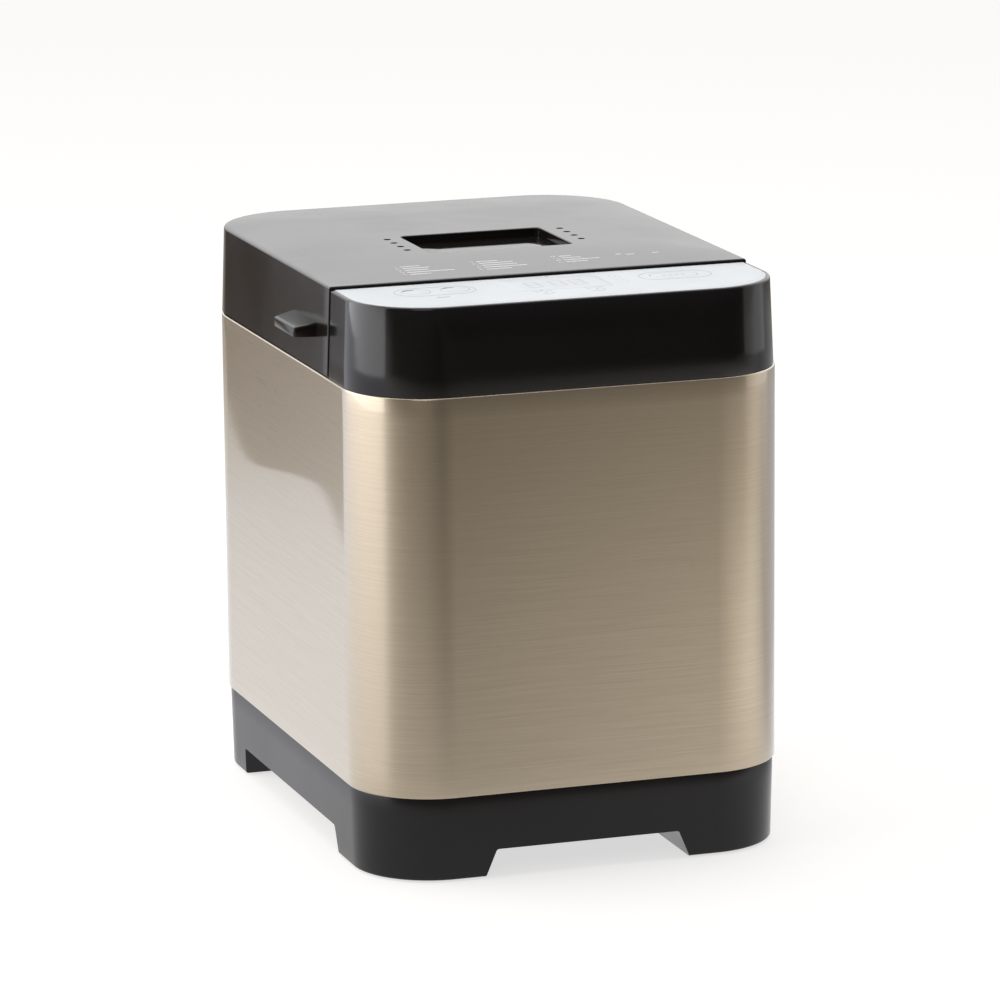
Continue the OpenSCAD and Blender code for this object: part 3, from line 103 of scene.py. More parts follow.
def studio_floor():
    """Pale paper, which the camera sees lifted to white with the object's shadow on it.

    Gloss sees painted light on it instead: a glow that stands for a bright sheet behind and beside
    the object. It dims towards the front, and on the left it ends in a wavy edge. Past that edge a
    painted grey glow, in a fan from the case's front left corner, paints that corner's highlight,
    and beyond the fan lies a painted dark.
    """
    material = bpy.data.materials.new("studio_floor")
    material.use_nodes = True
    tree = material.node_tree
    tree.nodes.clear()
    ray = add(tree, "ShaderNodeLightPath")
    place = add(tree, "ShaderNodeTexCoord").outputs["Object"]
    apart = add(tree, "ShaderNodeSeparateXYZ", {0: place})
    x, y = apart.outputs["X"], apart.outputs["Y"]
    reach = 1.6

    def by_place(axis, stops):
        """Half of a colour that runs between stops: (metres along the axis, colour or grey)."""
        made = add(tree, "ShaderNodeValToRGB", {"Fac": mapped(tree, axis, -reach, reach)})
        stop = made.color_ramp.elements
        for at, colour in stops:
            half = [0.5 * float(part) for part in np.broadcast_to(colour, 3)]
            stop.new((at + reach) / (2.0 * reach)).color = (*half, 1.0)
        stop.remove(stop[0])
        stop.remove(stop[-1])
        return made.outputs["Color"]

    # Painted reflection, seen only by gloss: brighter behind and beside the object, dim in front.
    from_front = by_place(y, [
        (-1.6, (0.08, 0.075, 0.065)), (-1.27, (0.13, 0.125, 0.105)), (-0.82, (0.43, 0.41, 0.38)),
        (-0.47, (0.80, 0.77, 0.74)), (-0.20, 0.95), (0.10, (1.10, 1.11, 1.15)),
        (0.74, (1.0, 1.01, 1.05)), (1.0, (0.86, 0.83, 0.77)), (1.3, (0.5, 0.46, 0.4))])
    beside_object = by_place(x, [
        (-1.2, 1.3), (-0.5, 0.9), (0.0, 0.62), (0.23, 1.08), (0.45, 1.6), (0.65, 1.3), (1.0, 0.7)])
    behind_object = by_place(x, [(-1.0, 0.76), (0.15, 0.76), (0.45, 0.46), (1.0, 0.42)])
    side_share = blend_colours(tree, mapped(tree, y, -0.05, -0.35), behind_object, beside_object)
    painted_reflection_glow = add(
        tree, "ShaderNodeVectorMath", {0: from_front, 1: side_share}, operation="MULTIPLY")

    sheet_edge = by_place(y, [
        (0.55, 0.325), (0.628, 0.342), (0.687, 0.356), (0.759, 0.372), (0.807, 0.380),
        (0.833, 0.378), (0.853, 0.373), (0.867, 0.366), (0.885, 0.359), (0.912, 0.359),
        (0.949, 0.365), (1.024, 0.381), (1.119, 0.404), (1.3, 0.43)])
    to_left = maths(tree, "MULTIPLY", x, -1.0)
    past_edge = mapped(tree, maths(tree, "MULTIPLY_ADD", sheet_edge, -2.0, to_left), -0.002, 0.004)
    # Past the edge: a painted grey glow in a fan from the case's corner, then painted dark.
    corner_x, corner_y = -0.072, -0.111
    bearing = maths(tree, "ARCTAN2", maths(tree, "ADD", y, -corner_y),
                    maths(tree, "MULTIPLY_ADD", x, -1.0, corner_x))
    corner_highlight_fan = mapped(tree, bearing, np.radians(-28.0), np.radians(-10.0))
    painted_glow_past_edge = blend_colours(tree, mapped(tree, bearing, np.radians(69.0), np.radians(70.5)),
                              (0.215, 0.22, 0.24, 1.0), (0.026, 0.021, 0.016, 1.0))
    lit = blend_colours(
        tree, maths(tree, "MULTIPLY", past_edge, corner_highlight_fan), painted_reflection_glow.outputs[0], painted_glow_past_edge)
    shown = add(tree, "ShaderNodeEmission", {"Color": lit, "Strength": 5.0})

    seen = blend_colours(
        tree, ray.outputs["Is Camera Ray"], (0.72, 0.71, 0.70, 1.0), (0.46, 0.44, 0.42, 1.0))
    paper = add(tree, "ShaderNodeBsdfDiffuse", {"Color": seen})
    lift = maths(tree, "MULTIPLY", ray.outputs["Is Camera Ray"], 0.66)
    glow = add(tree, "ShaderNodeEmission", {"Strength": lift})
    plain = add(tree, "ShaderNodeAddShader", {0: paper.outputs[0], 1: glow.outputs[0]})
    both = add(tree, "ShaderNodeMixShader", {
        "Fac": ray.outputs["Is Glossy Ray"], 1: plain.outputs[0], 2: shown.outputs[0]})
    add(tree, "ShaderNodeOutputMaterial", {"Surface": both.outputs[0]})
    return material


floor_mesh = bpy.data.meshes.new("floor")
floor_mesh.from_pydata([(-12, -12, 0), (12, -12, 0), (12, 12, 0), (-12, 12, 0)], [], [(0, 1, 2, 3)])
floor_mesh.materials.append(studio_floor())
placed("floor", floor_mesh)

world = bpy.data.worlds.new("surround")
bpy.context.scene.world = world
world.use_nodes = True
sky = world.node_tree
sky.nodes.clear()
sky_ray = add(sky, "ShaderNodeLightPath")
sky_place = add(sky, "ShaderNodeTexCoord").outputs["Generated"]
sky_way = add(sky, "ShaderNodeSeparateXYZ", {0: sky_place})
sky_back = mapped(
    sky, sky_way.outputs["Y"], -0.5, 0.75, 0.14, 1.25, interpolation_type="SMOOTHSTEP")
sky_high = mapped(sky, sky_way.outputs["Z"], 0.22, 0.5, 1.0, 1.9)
sky_gloss = add(sky, "ShaderNodeMix", {
    "Factor": sky_ray.outputs["Is Glossy Ray"], "A": 1.0, "B": sky_high})
sky_all = maths(sky, "MULTIPLY", sky_back, sky_gloss.outputs[0])
sky_seen = add(sky, "ShaderNodeMix", {
    "Factor": sky_ray.outputs["Is Camera Ray"], "A": sky_all, "B": 1.0})
sky_light = add(sky, "ShaderNodeBackground", {
    "Color": (1.0, 1.0, 1.0, 1.0), "Strength": sky_seen.outputs[0]})
add(sky, "ShaderNodeOutputWorld", {"Surface": sky_light.outputs[0]})


def softbox(name, place, towards, size, watts):
    """A rectangular lamp at one point that faces another."""
    lamp = bpy.data.lights.new(name, "AREA")
    lamp.shape = "RECTANGLE"
    lamp.size, lamp.size_y = size
    lamp.energy = watts
    facing = (Vector(towards) - Vector(place)).to_track_quat("-Z", "Y")
    placed(name, lamp).matrix_world = Matrix.Translation(place) @ facing.to_matrix().to_4x4()


softbox("softbox_left", (-1.35, 0.70, 0.66), (0.0, 0.70, 0.66), (2.4, 1.22), 20.0)
softbox("softbox_right", (1.5, -0.30, 0.62), (0.0, -0.30, 0.62), (1.2, 1.2), 2.7)
softbox("softbox_above", (0.1, 0.1, 2.1), (0.0, 0.0, 0.2), (1.8, 1.8), 11.0)
softbox("softbox_front", (-0.9, -2.2, 1.7), (0.0, 0.0, 0.15), (1.2, 1.2), 9.0)


# ---------------------------------------------------------------------------
# Steel skin: one sheet of brushed steel in a champagne tone, wrapped round the
# case. Its top and bottom edges are folded in, and the back has cooling slots.
def case_outline(front_x, side_y, rear_x, rear_break=()):
    """The case from above, walked anticlockwise from the front: points and outward normals, in mm.

    A corner is its centre plus its radius times (cos a, sin a), and its normal is (cos a, sin a).
    A straight side holds the points asked for, and its normal is square to it. rear_break adds
    the points of the rear corners that lie that far from the middle plane.
    """
    half, front, rear, r_front, r_rear = 118.0, -157.5, 157.5, 45.0, 51.0
    turn = np.radians(np.linspace(0.0, 90.0, 25))
    extra = np.arcsin((np.array(rear_break) - (half - r_rear)) / r_rear)
    rear_turn = np.sort(np.concatenate([turn, np.pi / 2 - extra]))
    points, normals = [], []

    def corner(cx, cy, r, angles):
        n = np.column_stack([np.cos(angles), np.sin(angles)])
        points.append(np.array([cx, cy]) + r * n)
        normals.append(n)

    def side(xs, ys, n):
        xy = np.column_stack(np.broadcast_arrays(xs, ys)).astype(float)
        points.append(xy)
        normals.append(np.broadcast_to(np.array(n, float), xy.shape))

    side(np.sort(front_x), front, (0, -1))
    corner(half - r_front, front + r_front, r_front, turn - np.pi / 2)
    side(half, np.sort(side_y), (1, 0))
    corner(half - r_rear, rear - r_rear, r_rear, rear_turn)
    side(np.sort(rear_x)[::-1], rear, (0, 1))
    corner(r_rear - half, rear - r_rear, r_rear, np.pi - rear_turn[::-1])
    side(-half, np.sort(side_y)[::-1], (-1, 0))
    corner(r_front - half, front + r_front, r_front, turn + np.pi)
    return np.concatenate(points), np.concatenate(normals)


def carry(outline, rows):
    """A profile round an outline: for each (inset, z), points moved in along their normals."""
    xy, normal = outline
    loops = []
    for inset, z in rows:
        inward = np.broadcast_to(inset, len(xy))[:, None] * normal
        loops.append(with_height(xy - inward, z))
    return np.stack(loops)


def with_height(loop, z):
    """A loop at another height, or at a height for each point."""
    return np.column_stack([np.asarray(loop, float)[:, :2], np.broadcast_to(z, len(loop))])


def skin_grid(grid, loop=False, caps=False):
    """Points of a grid whose rows are closed loops, with a four-sided face between neighbours.

    loop joins the last row to the first, and caps puts a flat end on the first and the last.
    """
    grid = np.asarray(grid, float)
    rows, columns = grid.shape[:2]
    row = np.arange(rows if loop else rows - 1)[:, None]
    column = np.arange(columns)[None]
    next_row, next_column = (row + 1) % rows, (column + 1) % columns
    faces = np.stack(np.broadcast_arrays(
        row * columns + column, row * columns + next_column,
        next_row * columns + next_column, next_row * columns + column), axis=-1)
    faces = faces.reshape(-1, 4).tolist()
    if caps:
        last = (rows - 1) * columns
        faces += [list(range(columns))[::-1], list(range(last, last + columns))]
    return grid.reshape(-1, 3), faces


def merged(name, parts):
    """One mesh in metres from parts in mm, each a pair of points and faces."""
    points, faces, start = [], [], 0
    for part_points, part_faces in parts:
        points.append(np.asarray(part_points, float) / 1000.0)
        faces.extend([[start + i for i in face] for face in part_faces])
        start += len(points[-1])
    mesh = bpy.data.meshes.new(name)
    mesh.from_pydata(np.concatenate(points).tolist(), [], faces)
    return mesh


def piece(name, parts, body, material, stands_for=(), cutters=(), also=None):
    """Makes one object from parts in mm, cuts holes in it and sets it in the frame.

    also is a second material and a test on the faces' middles, in mm, and their normals, which
    says which faces take it.
    """
    mesh = merged(name, parts)
    weld = bmesh.new()
    weld.from_mesh(mesh)
    bmesh.ops.remove_doubles(weld, verts=weld.verts, dist=1e-6)
    weld.to_mesh(mesh)
    weld.free()
    mesh.materials.append(material)
    made = placed(name, mesh)
    if cutters:
        tool = placed(name + "_cutter", merged(name + "_cutter", cutters))
        cut = made.modifiers.new("cut", "BOOLEAN")
        cut.operation, cut.solver, cut.object, cut.use_self = "DIFFERENCE", "EXACT", tool, True
        bpy.context.view_layer.update()
        evaluated = made.evaluated_get(bpy.context.evaluated_depsgraph_get())
        mesh = bpy.data.meshes.new_from_object(evaluated)
        made.modifiers.clear()
        made.data = mesh
        mesh.name = name
        bpy.data.objects.remove(tool)
    if also:
        second, chosen = also
        mesh.materials.clear()
        mesh.materials.append(material)
        mesh.materials.append(second)
        middle, normal = np.zeros((2, len(mesh.polygons) * 3), np.float32)
        mesh.polygons.foreach_get("center", middle)
        mesh.polygons.foreach_get("normal", normal)
        picked = chosen(middle.reshape(-1, 3) * 1000.0, normal.reshape(-1, 3))
        mesh.polygons.foreach_set("material_index", picked.astype(np.int32))
    mesh.shade_smooth()
    mesh.set_sharp_from_angle(angle=np.radians(32.0))
    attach(made, body)
    if stands_for:
        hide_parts(*stands_for)
    return made


def prism(loop, low, high):
    """A closed upright prism: a loop of (x, y) points, anticlockwise, between two heights."""
    return skin_grid([with_height(loop, low), with_height(loop, high)], caps=True)


def lying(loop, low, high, along_x=False):
    """A prism on its side: a loop of (x, z) carried along -y, or one of (y, z) carried along x."""
    points, faces = prism(loop, low, high)
    first, second, height = points.T
    turned = [height, first, second] if along_x else [first, -height, second]
    return np.column_stack(turned), faces


def round_corners(width, depth, radius, cx, cy, arc):
    """A rectangle with round corners, anticlockwise from its front right corner.

    A corner point is the corner's centre plus the radius times (cos a, sin a).
    """
    turn = np.radians(np.linspace(0.0, 90.0, arc + 1))
    loop = []
    for sx, sy, start in ((1, -1, -np.pi / 2), (1, 1, 0.0), (-1, 1, np.pi / 2), (-1, -1, np.pi)):
        centre = np.array([cx + sx * (width / 2 - radius), cy + sy * (depth / 2 - radius)])
        round_it = np.column_stack([np.cos(start + turn), np.sin(start + turn)])
        loop.append(centre + radius * round_it)
    return np.concatenate(loop)


def pill(width, depth, cx, cy, arc):
    """A rectangle whose short sides are half circles, or a circle where the two are equal."""
    return round_corners(width, depth, min(width, depth) / 2 - 0.01, cx, cy, arc)


def srgb(red, green, blue):
    """Linear light of a 0..255 screen colour: v/12.92 below 0.04, else ((v + 0.055)/1.055)^2.4."""
    v = np.array([red, green, blue]) / 255.0
    return (*np.where(v < 0.04045, v / 12.92, ((v + 0.055) / 1.055) ** 2.4).tolist(), 1.0)


def patterned_noise():
    """Noise on the object's own coordinates, stretched along each axis: a mask from 0 to 1."""
    group = bpy.data.node_groups.new("patterned_noise", "ShaderNodeTree")
    sockets = group.interface
    stretch = sockets.new_socket("Stretch", in_out="INPUT", socket_type="NodeSocketVector")
    stretch.default_value = (1.0, 1.0, 1.0)
    for label, value in (("Scale", 100.0), ("Detail", 2.0), ("Contrast", 1.0)):
        made = sockets.new_socket(label, in_out="INPUT", socket_type="NodeSocketFloat")
        made.default_value = value
    sockets.new_socket("Mask", in_out="OUTPUT", socket_type="NodeSocketFloat")
    given = add(group, "NodeGroupInput").outputs
    place = add(group, "ShaderNodeTexCoord").outputs["Object"]
    stretched = add(
        group, "ShaderNodeVectorMath", {0: place, 1: given["Stretch"]}, operation="MULTIPLY")
    noise = add(group, "ShaderNodeTexNoise", {
        "Vector": stretched.outputs[0], "Scale": given["Scale"], "Detail": given["Detail"],
        "Roughness": 0.55})
    centred = maths(group, "SUBTRACT", noise.outputs["Fac"], 0.5)
    scaled = maths(group, "MULTIPLY", centred, given["Contrast"])
    add(group, "NodeGroupOutput", {"Mask": maths(group, "ADD", scaled, 0.5, use_clamp=True)})
    return group


NOISE = patterned_noise()


def noise(tree, scale, stretch=(1.0, 1.0, 1.0), detail=2.0, contrast=1.6):
    """Places the noise group in a material and returns its mask."""
    made = add(tree, "ShaderNodeGroup", node_tree=NOISE)
    for key, value in (
            ("Stretch", stretch), ("Scale", scale), ("Detail", detail), ("Contrast", contrast)):
        made.inputs[key].default_value = value
    return made.outputs["Mask"]


def shader(name, **sockets):
    """A new material with a Principled shader whose plain sockets are set."""
    material = bpy.data.materials.new(name)
    material.use_nodes = True
    base = material.node_tree.nodes["Principled BSDF"]
    for key, value in sockets.items():
        base.inputs[key.replace("_", " ")].default_value = value
    return material, material.node_tree, base


def between(tree, mask, low, high):
    """A value that runs from low to high as the mask runs from 0 to 1."""
    return mapped(tree, mask, 0.0, 1.0, low, high)


def finish(tree, base, colour, rough, height=None, strength=0.0, distance=0.0002):
    """Links a colour, a roughness and, where there is one, a relief to the shader."""
    tree.links.new(colour, base.inputs["Base Color"])
    tree.links.new(rough, base.inputs["Roughness"])
    if height is not None:
        bump = add(tree, "ShaderNodeBump", {
            "Height": height, "Strength": strength, "Distance": distance})
        tree.links.new(bump.outputs[0], base.inputs["Normal"])


def brushed_champagne():
    """Brushed steel: long level strokes, a fraction of a millimetre apart, in tone and relief."""
    material, tree, base = shader(
        "brushed_champagne", Metallic=1.0, Anisotropic=0.72, Anisotropic_Rotation=0.25,
        Coat_Weight=1.0, Coat_Roughness=0.035)
    fine = noise(tree, 1.0, (30.0, 30.0, 4200.0), 2.0, 1.5)
    broad = noise(tree, 1.0, (14.0, 14.0, 1500.0), 2.0, 1.4)
    stroke = maths(tree, "MULTIPLY", maths(tree, "ADD", fine, broad), 0.5)
    finish(tree, base, blend_colours(tree, stroke, srgb(171, 156, 133), srgb(193, 178, 156)),
           between(tree, stroke, 0.36, 0.24), stroke, 0.035)
    tangent = add(tree, "ShaderNodeTangent", direction_type="RADIAL", axis="Z")
    tree.links.new(tangent.outputs[0], base.inputs["Tangent"])
    return material


skin_low, skin_high, sheet, hem, bend = 45.4, 257.5, 0.6, 4.6, 0.9
skin_path = case_outline(
    front_x=np.linspace(-72, 72, 25), side_y=np.linspace(-111, 105, 31),
    rear_x=np.linspace(-66, 66, 23), rear_break=(70.6, 71.2))
fold = np.radians(np.linspace(0.0, 90.0, 7))
skin_x, skin_y = skin_path[0].T
# The upper hem is cut back to the sheet's thickness beside the hinge block.
top_hem = np.where((skin_y > 150.0) & (np.abs(skin_x) < 71.0), sheet + 0.05, hem)
skin_rows = [(hem, skin_low)]
skin_rows += [(bend * (1 - np.sin(a)), skin_low + bend * (1 - np.cos(a))) for a in fold]
skin_rows += [(0.0, z) for z in np.linspace(skin_low + 12, skin_high - 12, 9)]
skin_rows += [(bend * (1 - np.cos(a)), skin_high - bend * (1 - np.sin(a))) for a in fold]
skin_rows += [(top_hem, skin_high), (top_hem, skin_high - sheet), (sheet, skin_high - sheet),
              (sheet, skin_low + sheet), (hem, skin_low + sheet)]
# Thirteen slots go through the back, and the cutters reach from y = 154 to 160.
slot_pitch, slot_z = 8.5, 75.4
slots = [lying(pill(3.2, 26.0, slot_pitch * i, slot_z, 6), -160.0, -154.0) for i in range(-6, 7)]
piece("steel_skin", [skin_grid(carry(skin_path, skin_rows), loop=True)], "case",
      brushed_champagne(), ["steel_wrap"], cutters=slots)


# ---------------------------------------------------------------------------
# Lid: one black moulding with a low pillow top, a well for the window, four
# vent holes on each side of it, a lift lug on each side and two hinge lugs.
def ring(half, front, rear, r_front, r_rear, z, arc=12, side=20, extra=()):
    """A closed level loop: a rectangle from front to rear with round corners, anticlockwise.

    A corner point is the corner's centre plus its radius times (cos a, sin a), and the points
    of a side divide evenly the line between two corners. extra adds angles to the rear corners.
    """
    turn = np.radians(np.linspace(0.0, 90.0, arc + 1))
    rear_turn = np.sort(np.concatenate([turn, np.radians(extra)]))

    def corner(sign, y, r, angle):
        return np.column_stack([sign * (half - r) + r * np.cos(angle), y + r * np.sin(angle)])

    corners = [
        corner(1, front + r_front, r_front, turn - np.pi / 2),
        corner(1, rear - r_rear, r_rear, rear_turn),
        corner(-1, rear - r_rear, r_rear, np.pi - rear_turn[::-1]),
        corner(-1, front + r_front, r_front, turn + np.pi)]
    along = (np.arange(1, side) / side)[:, None]
    walked = []
    for points, following in zip(corners, corners[1:] + corners[:1]):
        walked += [points, points[-1] + (following[0] - points[-1]) * along]
    return with_height(np.concatenate(walked), z)


lid_half, lid_seam, lid_rear, lid_r, lid_lean = 117.8, -84.5, 157.3, 50.8, 1.8


def pillow(x, y):
    """Height of the lid's top: 3 mm times u(2 - u), where u is the distance in over 62 mm.

    That distance is the lesser of those from the sides and from the seam, blended over 30 mm.
    """
    corner_x, corner_y = lid_half - lid_r, lid_rear - lid_r
    from_corner = lid_r - np.hypot(np.maximum(np.abs(x) - corner_x, 0.0), y - corner_y)
    beside = np.where(y > corner_y, from_corner, lid_half - np.abs(x)) - lid_lean
    ahead_of, soft = y - lid_seam, 30.0
    mix = np.clip(0.5 + 0.5 * (ahead_of - beside) / soft, 0.0, 1.0)
    inside = ahead_of * (1 - mix) + beside * mix - soft * mix * (1 - mix)
    u = np.clip(inside / 62.0, 0.0, 1.0)
    return 305.8 + 3.0 * u * (2.0 - u)


def moulded(name, base_colour, rough, specular, grain=(900.0, 0.05), smudge=0.05, **sockets):
    """Plastic, rubber or fired clay: fine grain, and broad smudges in its gloss and tone."""
    material, tree, base = shader(name, Specular_IOR_Level=specular, **sockets)
    grain_scale, grain_depth = grain
    fine = noise(tree, grain_scale)
    broad = noise(tree, 14.0, detail=4.0, contrast=1.8)
    darker = (*(0.8 * part for part in base_colour[:3]), 1.0)
    finish(tree, base, blend_colours(tree, broad, darker, base_colour),
           between(tree, broad, rough - smudge, rough + smudge), fine, grain_depth, 0.0001)
    return material


# Painted light and shade: up-facing faces get a lighter, more reflective black than the rest.
lid_lit_top_finish = moulded("lid_top_painted_light", srgb(38, 34, 35), 0.24, 0.75, (700.0, 0.03))
lid_shaded_finish = moulded("lid_painted_shade", srgb(27, 22, 20), 0.15, 0.25, (1100.0, 0.02), 0.03)

lid_corner = (4.5, 4.7, 42.7, 42.9, 85.3, 85.5)
window_edge = 0.8
edge = np.radians(np.linspace(0.0, 90.0, 6))


def lid_ring(inset, z, front_share=1.0, lean=0.0):
    """One loop of the lid's outline, moved in; the seam side takes a share of that and no lean."""
    moved = inset + lean
    return ring(lid_half - moved, lid_seam + front_share * inset, lid_rear - moved,
                max(0.9 - inset, 0.25), lid_r - moved, z, extra=lid_corner)


def window_ring(grow, z):
    """One loop of the window's opening, made larger all round."""
    r = 3.0 + grow
    return ring(40.0 + grow, -23.5 - grow, 33.5 + grow, r, r, z, extra=lid_corner)


def over_top(loop, lower=0.0):
    """A loop laid on the lid's top, or a little below it."""
    return with_height(loop, pillow(loop[:, 0], loop[:, 1]) - lower)


# The lower edge is raised over the hinge block, and cut back by 2 mm behind the hinge.
lid_outer = lid_ring(0.0, 0.0)
block_half, lid_edge_z = 71.05, 258.0
foot_x, foot_y = np.abs(lid_outer[:, 0]), lid_outer[:, 1]
foot_z = np.where((foot_y > 140.0) & (foot_x < block_half), 283.4,
                  np.where(foot_y > 141.0, lid_edge_z + 2.0, lid_edge_z))
lid_loops = [with_height(lid_ring(0.5, 0.0), foot_z), with_height(lid_outer, foot_z + 0.5)]
for share in (0.25, 0.5, 0.75, 1.0):
    loop = lid_ring(0.0, 0.0, lean=lid_lean * share)
    lid_loops.append(with_height(loop, foot_z + 0.5 + (303.8 - foot_z) * share))
for a in edge[1:]:
    lid_loops.append(lid_ring(1.5 * (1 - np.cos(a)), 304.3 + 1.5 * np.sin(a), 0.6, lid_lean))
top_rim, top_hole = lid_ring(1.5, 0.0, 0.6, lid_lean), window_ring(window_edge, 0.0)
for share in (1 - np.cos(np.pi * np.linspace(0.0, 1.0, 30)[1:])) / 2:
    lid_loops.append(over_top(top_rim * (1 - share) + top_hole * share))
for a in edge[1:]:
    loop = window_ring(window_edge * (1 - np.sin(a)), 0.0)
    lid_loops.append(over_top(loop, window_edge * (1 - np.cos(a))))
lid_loops += [window_ring(grow, z) for grow, z in (
    (0.0, 305.5), (0.0, 303.35), (3.0, 303.35), (3.0, 294.1), (5.5, 294.1))]
well_ring, wall_ring = window_ring(5.5, 0.0), lid_ring(2.5, 0.0, lean=lid_lean)
for share in np.linspace(0.0, 1.0, 12):
    lid_loops.append(over_top(well_ring * (1 - share) + wall_ring * share, 2.5))
lid_loops.append(with_height(lid_ring(2.5, 0.0), foot_z))


def rounded_polygon(corners, radii, arc=5):
    """A flat loop through given corners, each rounded by an arc that touches both of its sides."""
    corners = np.asarray(corners, float)
    loop = []
    for here, before, after, radius in zip(
            corners, np.roll(corners, 1, 0), np.roll(corners, -1, 0), radii):
        to_before = (before - here) / np.linalg.norm(before - here)
        to_after = (after - here) / np.linalg.norm(after - here)
        half_angle = np.arccos(np.clip(to_before @ to_after, -1, 1)) / 2
        middle = to_before + to_after
        centre = here + middle / np.linalg.norm(middle) * radius / np.sin(half_angle)
        start = here + to_before * radius / np.tan(half_angle) - centre
        stop = here + to_after * radius / np.tan(half_angle) - centre
        t = np.linspace(0.0, 1.0, arc + 1)[:, None]
        along = start * (1 - t) + stop * t
        loop.append(centre + along / np.linalg.norm(along, axis=1)[:, None] * radius)
    return np.concatenate(loop)


def lift_lug(sign):
    """A hollow lug: a plan carried up and rounded over, whose top falls outwards by 2 mm."""
    wall_x, tip_x, front, rear = 115.6, 129.1, -63.0, -23.0

    def plan(inset):
        return rounded_polygon(
            [(wall_x, front + inset), (tip_x - inset, front + inset),
             (tip_x - inset, rear - 3.4 - inset), (117.4, rear - inset), (wall_x, rear - inset)],
            (0.2, max(1.6 - inset, 0.3), max(2.2 - inset, 0.3), 0.4, 0.2))

    rows = [(2.2, 281.0), (2.2, 275.6), (0.5, 275.5), (0.15, 275.65), (0.0, 276.1), (0.0, 282.1)]
    rows += [(1.4 * (1 - np.cos(a)), 282.1 + 1.4 * np.sin(a)) for a in edge[1:]]
    grid = np.stack([with_height(plan(inset), z) for inset, z in rows])
    out = np.clip((grid[:, :, 0] - 117.6) / 11.5, 0.0, 1.0)
    rise = np.clip((grid[:, :, 2] - 275.5) / 8.0, 0.0, 1.0)
    grid[:, :, 2] += out * (0.7 * (1 - rise) - 2.2 * rise)
    grid[:, :, 0] *= sign
    points, faces = skin_grid(grid, caps=True)
    return points, [face[::sign] for face in faces]


def hinge_lug(x):
    """A lug 7 mm thick from the lid's top to the hinge pin: half a circle, then straight up."""
    pin_y, pin_z, r = 149.0, 276.0, 6.3
    a = np.linspace(np.pi, 2 * np.pi, 25)
    loop = np.column_stack([pin_y + r * np.cos(a), pin_z + r * np.sin(a)])
    loop = np.concatenate([loop, [[pin_y + r, 304.0], [pin_y - r, 304.0]]])
    return lying(loop, x - 3.5, x + 3.5, along_x=True)


vent_x, vent_y, vent_pitch = 49.3, 8.0, 11.8
vent_holes = [prism(pill(4.0, 4.0, x, vent_y + vent_pitch * (i - 1.5), 5), 300.0, 312.0)
              for x in (-vent_x, vent_x) for i in range(4)]
piece("lid_cover", [skin_grid(lid_loops, loop=True)], "lid", lid_shaded_finish,
      ["lid_shell"], cutters=vent_holes,
      also=(lid_lit_top_finish, lambda middle, normal: (middle[:, 2] > 304.9) & (normal[:, 2] > 0.35)))
piece("lid_lift_lugs", [lift_lug(1), lift_lug(-1)], "lid", lid_shaded_finish)
piece("lid_hinge_lugs", [hinge_lug(40.0), hinge_lug(-40.0)], "lid", lid_shaded_finish)


# ---------------------------------------------------------------------------
# Control housing: a glossy black moulding in front of the lid. Its sides lean
# in, its top edge is rounded over, and a shallow pocket holds the white panel.
head_finish = moulded("head_gloss", srgb(20, 17, 17), 0.12, 0.42, (500.0, 0.015), 0.03)
head_low, pocket_z, rim_z, display_y = 257.6, 303.3, 304.3, -110.0
key_sizes = {
    "time_up": (15.0, 15.0, -54.45, -107.5), "time_down": (15.0, 15.0, -75.95, -107.5),
    "start": (26.0, 14.0, 65.6, -109.0), "menu": (9.0, 9.0, -14.0, -134.0),
    "crust": (9.0, 9.0, 14.0, -134.0)}


def head_ring(inset, z, back=0.0):
    """One loop of the housing's outline, moved in on three sides, and by back on the seam side."""
    return ring(118.0 - inset, -157.5 + inset, -85.5 - back, 45.0 - inset, max(0.7 - back, 0.2),
                z, arc=20)


def head_middle(z):
    """The small loop in the middle of the housing at which its top and the panel's end."""
    return ring(70.0, -117.0, -106.0, 5.0, 5.0, z, arc=20)


def key_openings(clearance, low, high, arc):
    """A hole for each key, wider and deeper than its cap by a clearance."""
    return [prism(pill(width + clearance, depth + clearance, x, y, arc), low, high)
            for width, depth, x, y in key_sizes.values()]


head_loops = [head_ring(1.1, head_low), head_ring(0.8, 257.7), head_ring(0.7, 258.1)]
head_loops += [head_ring(0.7 + 1.8 * (z - 258.1) / 44.8, z) for z in (270.0, 285.0, 302.9)]
head_loops += [head_ring(2.5 + 1.4 * (1 - np.cos(a)), 302.9 + 1.4 * np.sin(a),
                         0.7 * (1 - np.cos(a))) for a in edge[1:]]
head_loops += [head_ring(4.3, rim_z, 0.9), head_ring(4.5, rim_z - 0.2, 1.0),
               head_ring(4.5, pocket_z, 1.0)]
head_loops += [head_ring(i, pocket_z, 1.0 + 0.45 * (i - 4.5)) for i in (12.0, 22.0, 35.0)]
head_loops.append(head_middle(pocket_z))
head_inside = [head_middle(301.0), head_ring(4.9, 301.0, 2.5), head_ring(3.2, head_low, 2.5)]
# Both skins start at the lower edge, and each is closed at its other end.
ring_size = len(head_loops[0])
top_points, top_faces = skin_grid(head_loops)
top_faces.append(list(range(len(top_points) - ring_size, len(top_points))))
under_points, under_faces = skin_grid(head_inside + head_loops[:1])
under_faces.append(list(range(ring_size))[::-1])
head_openings = key_openings(0.5, 296.0, 308.0, 10)
head_openings.append(prism(round_corners(49.0, 30.0, 0.5, 0.0, display_y, 2), 296.0, 308.0))
piece("head_housing", [(top_points, top_faces), (under_points, under_faces)], "case",
      head_finish, ["control_housing"], cutters=head_openings)


